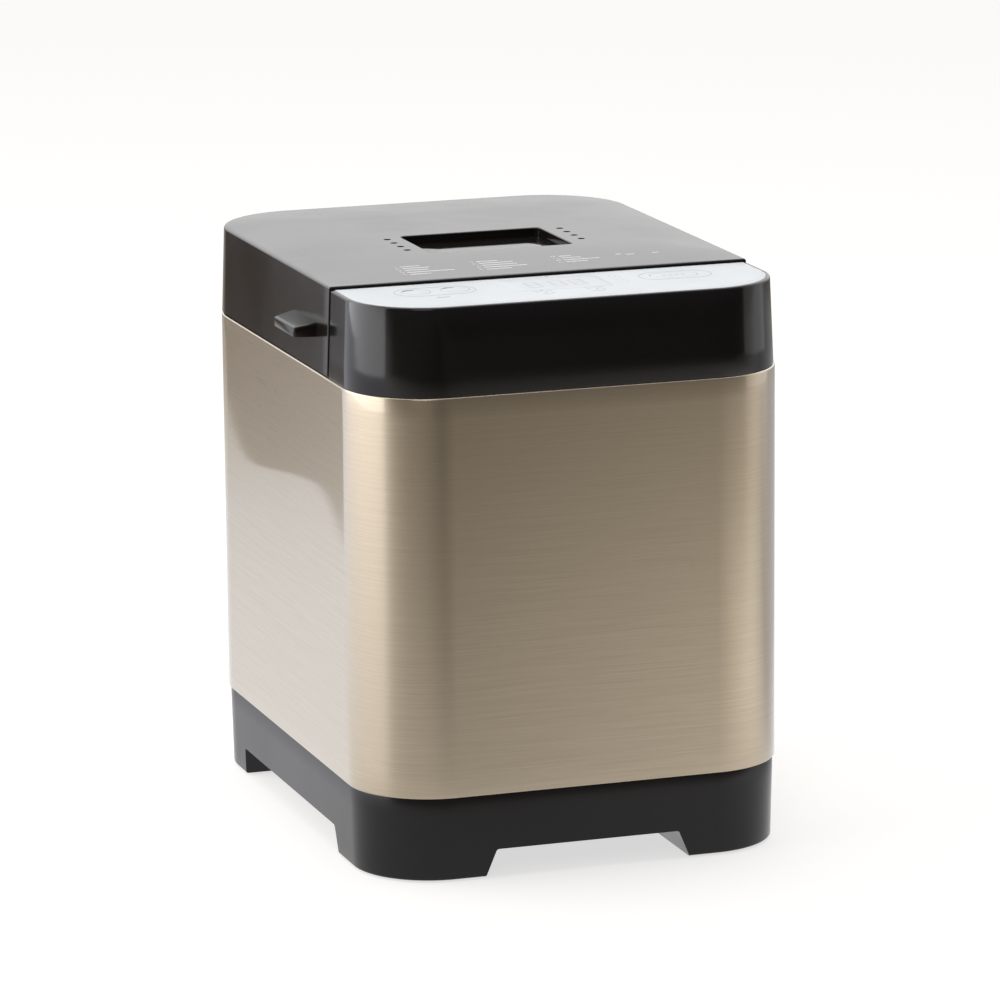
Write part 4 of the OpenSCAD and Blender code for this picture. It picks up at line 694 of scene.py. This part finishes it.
# ---------------------------------------------------------------------------
# Control panel: a white satin sheet let into the housing's pocket, with close
# holes for the keys and the display, and faint printed outlines and scales.
def revolve(profile, x, y, steps):
    """A closed solid of revolution: each (r, z) goes round the upright line through (x, y).

    Its points are (x + r cos a, y + r sin a, z). A profile that doesn't close gets flat ends.
    """
    a = np.linspace(0.0, 2 * np.pi, steps, endpoint=False)
    rows = [with_height(np.column_stack([x + r * np.cos(a), y + r * np.sin(a)]), z)
            for r, z in profile]
    return skin_grid(rows, caps=profile[0] != profile[-1])


def stamped(rects, height, thick=0.05, sink=0.1):
    """Printed bars: each (x, y, width, depth) is an eight-sided pad on a height over (x, y)."""
    rects = np.asarray(rects, float)
    half = rects[:, None, 2:] / 2
    cut = 0.3 * half.min(axis=2, keepdims=True)
    way = np.repeat([[1, -1], [1, 1], [-1, 1], [-1, -1]], 2, axis=0).astype(float)
    trim = np.array([[1, 0], [0, 1], [0, 1], [1, 0]] * 2, float)
    flat = rects[:, None, :2] + way[None] * (half - trim[None] * cut)
    level = height(flat[:, :, 0], flat[:, :, 1])
    points, faces = [], []
    for loop, z in zip(flat, level):
        pad_points, pad_faces = skin_grid(
            [with_height(loop, z - sink), with_height(loop, z + thick)], caps=True)
        faces += [[i + 16 * len(points) for i in face] for face in pad_faces]
        points.append(pad_points)
    return np.concatenate(points), faces


def figure(digit, x, y, high=2.4, wide=1.25, stroke=0.34):
    """One plain figure out of seven bars, from its lower left corner."""
    lit = ["abcdef", "bc", "abged", "abgcd", "fgbc", "afgcd", "afgedc", "abc", "abcdefg", "abcdfg"]
    middle, right, half = x + wide / 2, x + wide, high / 2
    bars = {
        "a": (middle, y + high, wide, stroke), "g": (middle, y + half, wide, stroke),
        "d": (middle, y, wide, stroke), "b": (right, y + 0.75 * high, stroke, half),
        "c": (right, y + 0.25 * high, stroke, half), "f": (x, y + 0.75 * high, stroke, half),
        "e": (x, y + 0.25 * high, stroke, half)}
    return [bars[bar] for bar in lit[digit]]


def outline_print(width, depth, x, y):
    """A line half a millimetre wide round a pill shape, as a flat ring with square edges."""
    line, low, high = 0.5, rim_z - 0.05, rim_z + 0.05
    big = pill(width, depth, x, y, 16)
    small = pill(width - 2 * line, depth - 2 * line, x, y, 16)
    return skin_grid([with_height(big, low), with_height(big, high), with_height(small, high),
                      with_height(small, low)], loop=True)


def on_panel(x, y):
    """The height of the panel's face."""
    return np.full(np.shape(x), rim_z)


panel_white = moulded("panel_satin_white", srgb(216, 221, 224), 0.42, 0.35, (1300.0, 0.04), 0.04)
sheet_low = pocket_z + 0.05
panel_edge = [(4.9, sheet_low), (4.65, 303.6), (4.65, 304.1), (4.72, 304.24), (4.9, rim_z)]
panel_loops = [head_ring(i, z, 0.85 + (i - 4.65)) for i, z in panel_edge]
panel_loops += [head_ring(i, rim_z, 1.0 + 0.45 * (i - 4.65)) for i in (12.0, 22.0, 35.0)]
panel_loops.append(head_middle(rim_z))
panel_under = [with_height(loop, sheet_low) for loop in panel_loops[:0:-1]]
close_openings = key_openings(0.36, 300.0, 308.0, 14)
close_openings.append(prism(round_corners(53.1, 34.1, 2.85, 0.0, display_y, 6), 300.0, 308.0))
piece("panel_sheet", [skin_grid(panel_under + panel_loops, caps=True)], "case", panel_white,
      ["control_panel"], cutters=close_openings)

print_grey = moulded("print_pale_grey", srgb(178, 184, 188), 0.45, 0.3, (1500.0, 0.03), 0.03)
print_dark = moulded("print_mid_grey", srgb(112, 116, 119), 0.45, 0.3, (1500.0, 0.03), 0.03)
faint_marks = [(x, y, 1.6, 0.45) for x in (33.0, 36.5) for y in (-100.0, -106.0, -112.0, -118.0)]
faint_marks += [(x, -128.2, 2.6, 0.4) for x in (-18.0, -10.0, 10.0, 18.0)]
piece("panel_print_outlines", [
    outline_print(44.0, 23.0, -65.9, -108.5), outline_print(40.0, 21.6, 66.4, -109.0),
    stamped(faint_marks, on_panel)], "case", print_grey)
dark_marks = [(-67.0, -126.6, 7.0, 0.6), (2.0, -89.0, 2.2, 0.7), (-14.0, -127.0, 1.8, 0.6)]
piece("panel_print_marks", [stamped(dark_marks, on_panel)], "case", print_dark)


# ---------------------------------------------------------------------------
# Display: a clear-grey lens over a liquid crystal glass, flush with the panel.
# Its unlit figures show faintly; below it is the module on the circuit board.
def display_glass():
    """Pale liquid crystal: a faint broad cloud, fine dots in its tone, and a smooth gloss."""
    material, tree, base = shader("display_glass", Specular_IOR_Level=0.35)
    cloud = noise(tree, 25.0, detail=3.0, contrast=1.4)
    fine = noise(tree, 2400.0, detail=1.0, contrast=1.2)
    tone = blend_colours(tree, cloud, srgb(202, 207, 210), srgb(210, 215, 218))
    finish(tree, base, blend_colours(tree, fine, tone, srgb(199, 204, 207)),
           between(tree, cloud, 0.34, 0.4))
    return material


def lens_loop(inset, z):
    """One loop of the display's lens, moved in."""
    return with_height(round_corners(
        53.0 - 2 * inset, 34.0 - 2 * inset, max(2.8 - inset, 0.4), 0.0, display_y, 6), z)


lens_rows = [(2.0, sheet_low), (0.0, 303.4), (0.0, 304.2), (0.03, 304.27), (0.1, rim_z),
             (4.0, rim_z), (12.0, rim_z)]
piece("display_lens", [skin_grid([lens_loop(i, z) for i, z in lens_rows], caps=True)], "case",
      display_glass(), ["display_window"])
unlit = []
for x in (-16.0, -2.5, 8.5):
    unlit += figure(8, x, -117.0, high=14.0, wide=6.6, stroke=1.3)
unlit += [(-6.0, -113.2, 1.3, 1.3), (-6.0, -107.0, 1.3, 1.3)]
unlit_grey = moulded("display_unlit_figures", srgb(190, 196, 199), 0.3, 0.35, (1500.0, 0.02), 0.02)
piece("display_figures", [stamped(unlit, on_panel, thick=0.02)], "case", unlit_grey)


# ---------------------------------------------------------------------------
# Keys: white caps a third of a millimetre proud of the panel, slightly domed,
# each with a flange that holds it in the housing and a stem over its switch.
def key_solid(width, depth, x, y):
    """A cap and its stem: pill-shaped loops moved in by i at height z, over a turned stem."""
    small, top = min(width, depth) / 2, 304.32
    cap = [(-1.2, 299.8), (-1.2, 300.8), (0.0, 300.8), (0.0, 304.05), (0.06, 304.2), (0.2, top)]
    cap += [(share * small, top + 0.28 * (1 - (1 - share) ** 2))
            for share in (0.12, 0.25, 0.45, 0.7, 0.93)]
    rows = [with_height(pill(width - 2 * i, depth - 2 * i, x, y, 12), z) for i, z in cap]
    stem = revolve([(2.2, 297.3), (2.5, 297.6), (2.5, 300.0)], x, y, 24)
    return [skin_grid(rows, caps=True), stem]


def on_key(x, y):
    """The height of a cap's crown."""
    return np.full(np.shape(x), 304.5)


key_white = moulded("key_satin_white", srgb(214, 219, 222), 0.38, 0.35, (1300.0, 0.04), 0.04)
key_marks = {
    "time_up": [(-57.0, -103.0, 5.6, 0.55)], "time_down": [(-79.0, -103.4, 5.6, 0.55)],
    "start": [(x, -110.0, 2.0, 1.5) for x in (60.0, 63.5, 67.0, 70.5)],
    "menu": [(-14.0, -134.3, 1.4, 0.8)], "crust": [(14.0, -134.3, 1.4, 0.8)]}
for key, sizes in key_sizes.items():
    piece("key_cap_" + key, key_solid(*sizes), key, key_white, ["key_" + key])
    piece("key_mark_" + key, [stamped(key_marks[key], on_key, thick=0.12, sink=0.3)], key,
          print_grey if key == "start" else print_dark)


# ---------------------------------------------------------------------------
# Lid print and window: pale figures and bars in four columns at the lid's
# front, and smoked glass on a rubber gasket.
lid_print = []
for x, bars, first in (
        (-71.0, (11, 15, 13, 26, 12), 1), (-28.5, (12, 19, 20, 24, 14), 5),
        (17.5, (7, 11, 20, 12), 10)):
    for row, length in enumerate(bars):
        y = -53.6 - 4.4 * row
        tens, ones = divmod(first + row, 10)
        if tens:
            lid_print += figure(tens, x - 1.9, y - 1.2)
        lid_print += figure(ones, x, y - 1.2)
        lid_print.append((x + 3.4 + length / 2, y, length, 1.4))
lid_print += [(66.3, -59.2, 18.6, 1.4), (53.2, -57.6, 3.0, 1.6)]
print_white = moulded("print_pale", srgb(205, 205, 208), 0.3, 0.5, (1500.0, 0.02), 0.03)
piece("lid_printing", [stamped(lid_print, pillow, thick=0.02)], "lid", print_white)


def smoked_glass():
    """Dark tempered glass: clear enough to see the loaf's shape, with faint wipe marks."""
    material, tree, base = shader("smoked_glass", Transmission_Weight=0.8, IOR=1.5)
    wipe = noise(tree, 30.0, (1.0, 3.0, 1.0), 4.0)
    finish(tree, base, blend_colours(tree, wipe, srgb(60, 54, 52), srgb(70, 64, 62)),
           between(tree, wipe, 0.02, 0.07))
    return material


def dress(material, *nodes):
    """Gives CAD nodes a finish."""
    for node in nodes:
        for held in cad[node].material_slots:
            held.material = material


pane_top = 304.4
pane_loops = [window_ring(grow, z) for grow, z in (
    (2.5, 299.5), (2.85, 299.85), (2.85, 303.0), (2.6, 303.25), (-0.1, 303.28), (-0.1, 304.05),
    (-0.2, 304.3), (-0.5, pane_top))]
pane_middle = np.array([0.0, 5.0, pane_top])
for share in (0.35, 0.7, 0.9):
    pane_loops.append(pane_loops[-1] * (1 - share) + pane_middle * share)
piece("window_pane", [skin_grid(pane_loops, caps=True)], "lid", smoked_glass(),
      ["window_glass"])
dress(moulded("gasket_rubber", srgb(52, 51, 52), 0.62, 0.3, (800.0, 0.2), 0.06), "window_gasket")


# ---------------------------------------------------------------------------
# Base: one black moulding with four feet. Its sides draw in towards the table,
# and gaps between the feet let cool air up to seven slots under the motor fan.
base_finish = moulded("base_black", srgb(24, 20, 20), 0.24, 0.32)
base_path = case_outline(
    front_x=np.linspace(-72, 72, 13), side_y=np.linspace(-111, 105, 19),
    rear_x=np.linspace(-66, 66, 12))
base_top, gap_top = 45.4, 15.4
skirt = [(1.2 * (1 - np.sin(a)), 1.0 + 1.2 * (1 - np.cos(a))) for a in edge]
skirt += [(0.0, z) for z in (9.0, gap_top, 25.0, 35.0, 44.9)]
skirt += [(0.15, 45.25), (0.4, 45.39), (3.0, 45.39), (3.0, 18.5)]
# The skirt stands 1.1 mm in from the case at its top, and 1.1 mm more at the table.
skirt = [(inset + 1.1 + 1.1 * (1 - z / base_top), z) for inset, z in skirt]


def gap(foot_from, foot_to, top_from, top_to, along_x=False):
    """A tunnel between the feet, straight through, with its upper corners rounded."""
    section = rounded_polygon(
        [(foot_from, -5.0), (foot_to, -5.0), (top_to, gap_top), (top_from, gap_top)],
        (0.1, 0.1, 1.6, 1.6), arc=4)
    return lying(section, -200.0, 200.0, along_x)


base_cuts = [gap(-59.1, 59.1, -50.5, 50.5), gap(-88.6, 89.5, -80.0, 89.5, along_x=True)]
base_cuts += [prism(pill(20.6, 20.6, x, y, 10), -2.0, 2.51)
              for x in (-85.0, 85.0) for y in (-121.5, 120.5)]
base_cuts += [prism(round_corners(3.0, 36.0, 1.2, 8.0 * i, -117.0, 4), 10.0, 22.0)
              for i in range(-3, 4)]
port = rounded_polygon([(36, 21.7), (54, 21.7), (54, 39.7), (36, 39.7)], (8.99,) * 4, arc=8)
base_cuts.append(lying(port, -165.0, -145.0))
base_skirt = piece("base_skirt", [skin_grid(carry(base_path, skirt), caps=True)], "case",
                   base_finish, ["base_shell"], cutters=base_cuts)
soften = base_skirt.modifiers.new("soften", "BEVEL")
soften.width, soften.segments = 0.0007, 3
soften.limit_method, soften.angle_limit = "ANGLE", np.radians(35.0)
dress(moulded("pad_rubber", srgb(38, 38, 38), 0.75, 0.25, (700.0, 0.3)), "foot_pads")
dress(moulded("gland_black", srgb(34, 32, 32), 0.5, 0.4, (900.0, 0.15)), "cord_gland")
dress(moulded("frame_plastic", srgb(31, 28, 28), 0.45, 0.35, (1000.0, 0.12), 0.06), "top_frame")


# ---------------------------------------------------------------------------
# Oven: an aluminised steel chamber hung in the frame, a bright lid liner with
# a silicone seal, a sheathed heater on ceramic bushes, and a steel heat shield.
def worked_metal(name, dull, bright, rough, stretch=(1.0, 1.0, 1.0), scale=60.0, relief=0.06):
    """Sheet, drawn or turned metal: streaks along the way it was worked, in tone and relief."""
    material, tree, base = shader(name, Metallic=1.0)
    streak = noise(tree, scale, stretch, 3.0, 1.8)
    broad = noise(tree, 9.0, detail=3.0, contrast=1.8)
    both = maths(tree, "MULTIPLY", streak, broad)
    finish(tree, base, blend_colours(tree, both, dull, bright),
           between(tree, both, rough + 0.10, rough - 0.04), streak, relief)
    return material


def spangled_zinc():
    """Hot-dipped sheet: flat crystals a few millimetres across, each with its tone and gloss."""
    material, tree, base = shader("spangled_zinc", Metallic=1.0)
    place = add(tree, "ShaderNodeTexCoord").outputs["Object"]
    crystals = add(tree, "ShaderNodeTexVoronoi", {"Vector": place, "Scale": 170.0})
    grey = add(tree, "ShaderNodeSeparateColor", {0: crystals.outputs["Color"]}).outputs[0]
    finish(tree, base, blend_colours(tree, grey, srgb(160, 163, 166), srgb(198, 201, 203)),
           between(tree, grey, 0.28, 0.46))
    return material


dress(worked_metal("aluminised_steel", srgb(150, 151, 153), srgb(186, 187, 188), 0.36,
                   (1.0, 1.0, 14.0), 40.0), "baking_chamber")
dress(worked_metal("liner_aluminium", srgb(196, 198, 200), srgb(222, 224, 226), 0.30,
                   (1.0, 22.0, 22.0), 30.0), "lid_liner")
dress(worked_metal("heater_sheath", srgb(74, 72, 70), srgb(112, 106, 96), 0.42,
                   scale=28.0, relief=0.12), "heating_element")
dress(worked_metal("chamber_fittings", srgb(172, 174, 176), srgb(204, 206, 208), 0.34,
                   (12.0, 1.0, 1.0), 50.0), "heater_clips", "pan_seat", "temperature_sensor")
dress(spangled_zinc(), "heat_shield", "chassis_plate", "uprights")
dress(moulded("fired_ceramic", srgb(222, 217, 205), 0.6, 0.4, (420.0, 0.25), 0.06),
      "heater_bushes", "chamber_spacers", "thermal_fuse")
dress(moulded("seal_silicone", srgb(150, 66, 52), 0.55, 0.35, (600.0, 0.15), 0.06,
              Subsurface_Weight=0.05), "lid_seal")


# ---------------------------------------------------------------------------
# Bread pan: cast aluminium with a dark non-stick coat, a rolled rim and a
# wire handle on two riveted ears; its collar stands in the seat on the floor.
def nonstick(name, dark, speck, rough):
    """A sprayed and baked coat: fine pale specks and a slight orange-peel relief."""
    material, tree, base = shader(name, Specular_IOR_Level=0.6)
    specks = mapped(tree, noise(tree, 1900.0, detail=1.0, contrast=3.0), 0.72, 0.95)
    peel = noise(tree, 420.0)
    finish(tree, base, blend_colours(tree, specks, dark, speck),
           between(tree, peel, rough - 0.06, rough + 0.08), peel, 0.12)
    return material


drive_y = 20.0
pan_floor, pan_rim, pan_wall = 98.0, 238.0, 1.5
pan_inside = pan_floor + pan_wall


def pan_loop(inset, z):
    """One loop of the pan's wall: a rounded rectangle that leans in by 4 mm from rim to floor."""
    lean = 4.0 * (pan_rim - z) / 140.0 + inset
    r = max(22.0 - inset, 2.0)
    return ring(70.0 - lean, -57.0 + lean, 97.0 - lean, r, r, z, arc=10, side=8)


def hole_loop(r, z):
    """A circle about the drive whose points lie on the rays to those of a wall loop."""
    ray = pan_loop(0.0, z)[:, :2] - (0.0, drive_y)
    ray /= np.linalg.norm(ray, axis=1)[:, None]
    return with_height(r * ray + (0.0, drive_y), z)


pan_turn = np.radians(np.linspace(0.0, 90.0, 8))
hole_low, hole_high = hole_loop(9.05, pan_floor), hole_loop(9.05, pan_inside)
floor_low, floor_high = pan_loop(9.0, pan_floor), pan_loop(9.5, pan_inside)
pan_loops = [hole_low * (1 - t) + floor_low * t for t in (0.0, 0.35, 0.7)]
pan_loops += [pan_loop(9.0 * (1 - np.sin(a)), pan_floor + 9.0 * (1 - np.cos(a)))
              for a in pan_turn]
pan_loops += [pan_loop(0.0, z) for z in (140.0, 175.0, 210.0, 235.6)]
pan_loops += [pan_loop(i, z) for i, z in (
    (-0.4, 236.2), (-1.4, 236.5), (-2.4, 236.5), (-2.9, 236.75), (-3.0, 237.2), (-2.9, 237.65),
    (-2.4, 237.95), (-1.6, pan_rim), (0.4, pan_rim), (1.1, 237.8), (pan_wall, 237.2))]
pan_loops += [pan_loop(pan_wall, z) for z in (210.0, 175.0, 140.0)]
pan_loops += [pan_loop(pan_wall + 8.0 * (1 - np.sin(a)), pan_inside + 8.0 * (1 - np.cos(a)))
              for a in pan_turn[::-1]]
pan_loops += [hole_high * (1 - t) + floor_high * t for t in (0.7, 0.35, 0.0)]
ear_cuts = [prism(round_corners(6.0, 16.6, 0.6, x, drive_y, 3), 235.0, 241.0)
            for x in (-73.15, 73.15)]
piece("pan_shell", [skin_grid(pan_loops, loop=True)], "pan",
      nonstick("pan_nonstick", srgb(58, 57, 58), srgb(116, 114, 112), 0.36),
      ["bread_pan"], cutters=ear_cuts)
dress(worked_metal("pan_castings", srgb(168, 169, 170), srgb(200, 201, 202), 0.38,
                   scale=90.0, relief=0.15), "pan_collar", "drive_dog")
dress(worked_metal("bright_wire", srgb(196, 198, 200), srgb(226, 228, 230), 0.18,
                   scale=200.0, relief=0.04), "pan_handle", "pan_ears")
dress(worked_metal("sintered_bronze", srgb(150, 116, 66), srgb(188, 150, 92), 0.40,
                   scale=900.0, relief=0.2), "spindle_bush", "output_bushes")


# ---------------------------------------------------------------------------
# Kneading paddle: a non-stick casting, a hub on the spindle's flat and one
# rounded blade that sweeps just over the pan's floor.
blade_low = 101.0
blade_profile = rounded_polygon(
    [(7.0, 26.0), (7.0, 7.0), (13.0, 0.0), (38.0, 0.0), (38.0, 8.0), (28.0, 20.0)],
    (0.4, 0.6, 4.0, 2.2, 4.0, 9.0), arc=6)
blade_middle = blade_profile.mean(axis=0)
blade_loops = []
for size, y in ((0.80, 2.5), (0.92, 2.3), (0.98, 1.7), (1.0, 0.8), (1.0, -0.8), (0.98, -1.7),
                (0.92, -2.3), (0.80, -2.5)):
    out, up = (blade_middle + (blade_profile - blade_middle) * size).T
    blade_loops.append(np.column_stack([out, np.full(len(out), drive_y + y), up + blade_low]))
hub = [(4.15, 105.6), (8.4, 105.6), (9.0, 106.2), (8.6, 116.0), (8.2, 126.6), (7.8, 127.3),
       (7.1, 127.6), (4.15, 127.6), (4.15, 105.6)]
piece("paddle_casting", [skin_grid(blade_loops, caps=True), revolve(hub, 0.0, drive_y, 48)],
      "spindle", nonstick("paddle_nonstick", srgb(50, 49, 50), srgb(104, 102, 100), 0.34),
      ["kneading_paddle"])
dress(worked_metal("turned_steel", srgb(170, 172, 175), srgb(206, 208, 210), 0.24,
                   (1.0, 1.0, 60.0), relief=0.05),
      "pan_spindle", "output_shaft", "hinge_pins", "motor_rotor")


# ---------------------------------------------------------------------------
# Drive: a die-cast bearing housing, two nylon pulleys with a rubber belt, and
# a shaded-pole motor of stacked steel between two pressed bells.
def level_bands(tree, scale):
    """A mask that rises and falls along Z, pi/10 over the scale from one crest to the next."""
    place = add(tree, "ShaderNodeTexCoord").outputs["Object"]
    return add(tree, "ShaderNodeTexWave", {"Vector": place, "Scale": scale, "Distortion": 0.0},
               bands_direction="Z").outputs["Fac"]


def stacked_steel():
    """Motor laminations: level sheets of one millimetre, with a dark joint between each two."""
    material, tree, base = shader("motor_laminations", Metallic=0.9)
    sheets = level_bands(tree, 320.0)
    finish(tree, base, blend_colours(tree, sheets, srgb(70, 72, 76), srgb(126, 129, 132)),
           between(tree, sheets, 0.6, 0.42), sheets, 0.4)
    return material


def ribbed_belt():
    """A belt with lengthwise ribs: level bands 3.2 mm apart, lighter on their crests."""
    material, tree, base = shader("ribbed_belt", Specular_IOR_Level=0.25)
    ribs = level_bands(tree, 98.0)
    finish(tree, base, blend_colours(tree, ribs, srgb(24, 24, 24), srgb(48, 47, 46)),
           between(tree, noise(tree, 200.0), 0.66, 0.82), ribs, 0.6, 0.0004)
    return material


dress(worked_metal("die_casting", srgb(146, 148, 150), srgb(180, 182, 184), 0.44,
                   scale=260.0, relief=0.2), "bearing_housing")
dress(moulded("nylon_cream", srgb(218, 213, 198), 0.5, 0.4, (700.0, 0.1)),
      "large_pulley", "small_pulley", "motor_fan")
dress(ribbed_belt(), "drive_belt")
dress(stacked_steel(), "motor_stator")
dress(worked_metal("pressed_bells", srgb(166, 168, 170), srgb(198, 200, 202), 0.32,
                   (1.0, 1.0, 6.0), 40.0), "motor_bells")
dress(moulded("mount_rubber", srgb(40, 40, 40), 0.75, 0.25, (500.0, 0.25)), "motor_mounts")


# ---------------------------------------------------------------------------
# Electrics and screws: two circuit boards, a metal-cased capacitor, the
# display's module, and zinc-plated screws.
def circuit_board(name, ground, track):
    """Lacquered board: straight copper tracks from bricks laid on it, and a slight weave."""
    material, tree, base = shader(name, Specular_IOR_Level=0.5)
    place = add(tree, "ShaderNodeTexCoord").outputs["Object"]
    tracks = add(tree, "ShaderNodeTexBrick", {
        "Vector": place, "Scale": 130.0, "Mortar Size": 0.05, "Color1": ground,
        "Color2": ground, "Mortar": track})
    finish(tree, base, tracks.outputs["Color"],
           between(tree, noise(tree, 1500.0, (1.0, 1.0, 0.2)), 0.30, 0.44))
    return material


dress(circuit_board("green_board", srgb(34, 92, 50), srgb(66, 128, 78)), "control_board")
dress(circuit_board("brown_board", srgb(126, 92, 48), srgb(170, 134, 76)), "power_board")
dress(moulded("module_frame", srgb(132, 140, 134), 0.35, 0.5), "display_module")
dress(worked_metal("capacitor_can", srgb(196, 199, 202), srgb(220, 223, 226), 0.26,
                   (1.0, 1.0, 30.0), 40.0), "run_capacitor")
dress(worked_metal("zinc_plating", srgb(162, 165, 168), srgb(204, 206, 206), 0.30,
                   scale=300.0, relief=0.08),
      "chassis_screws", "housing_screws", "board_screws", "lid_screws", "motor_screws")
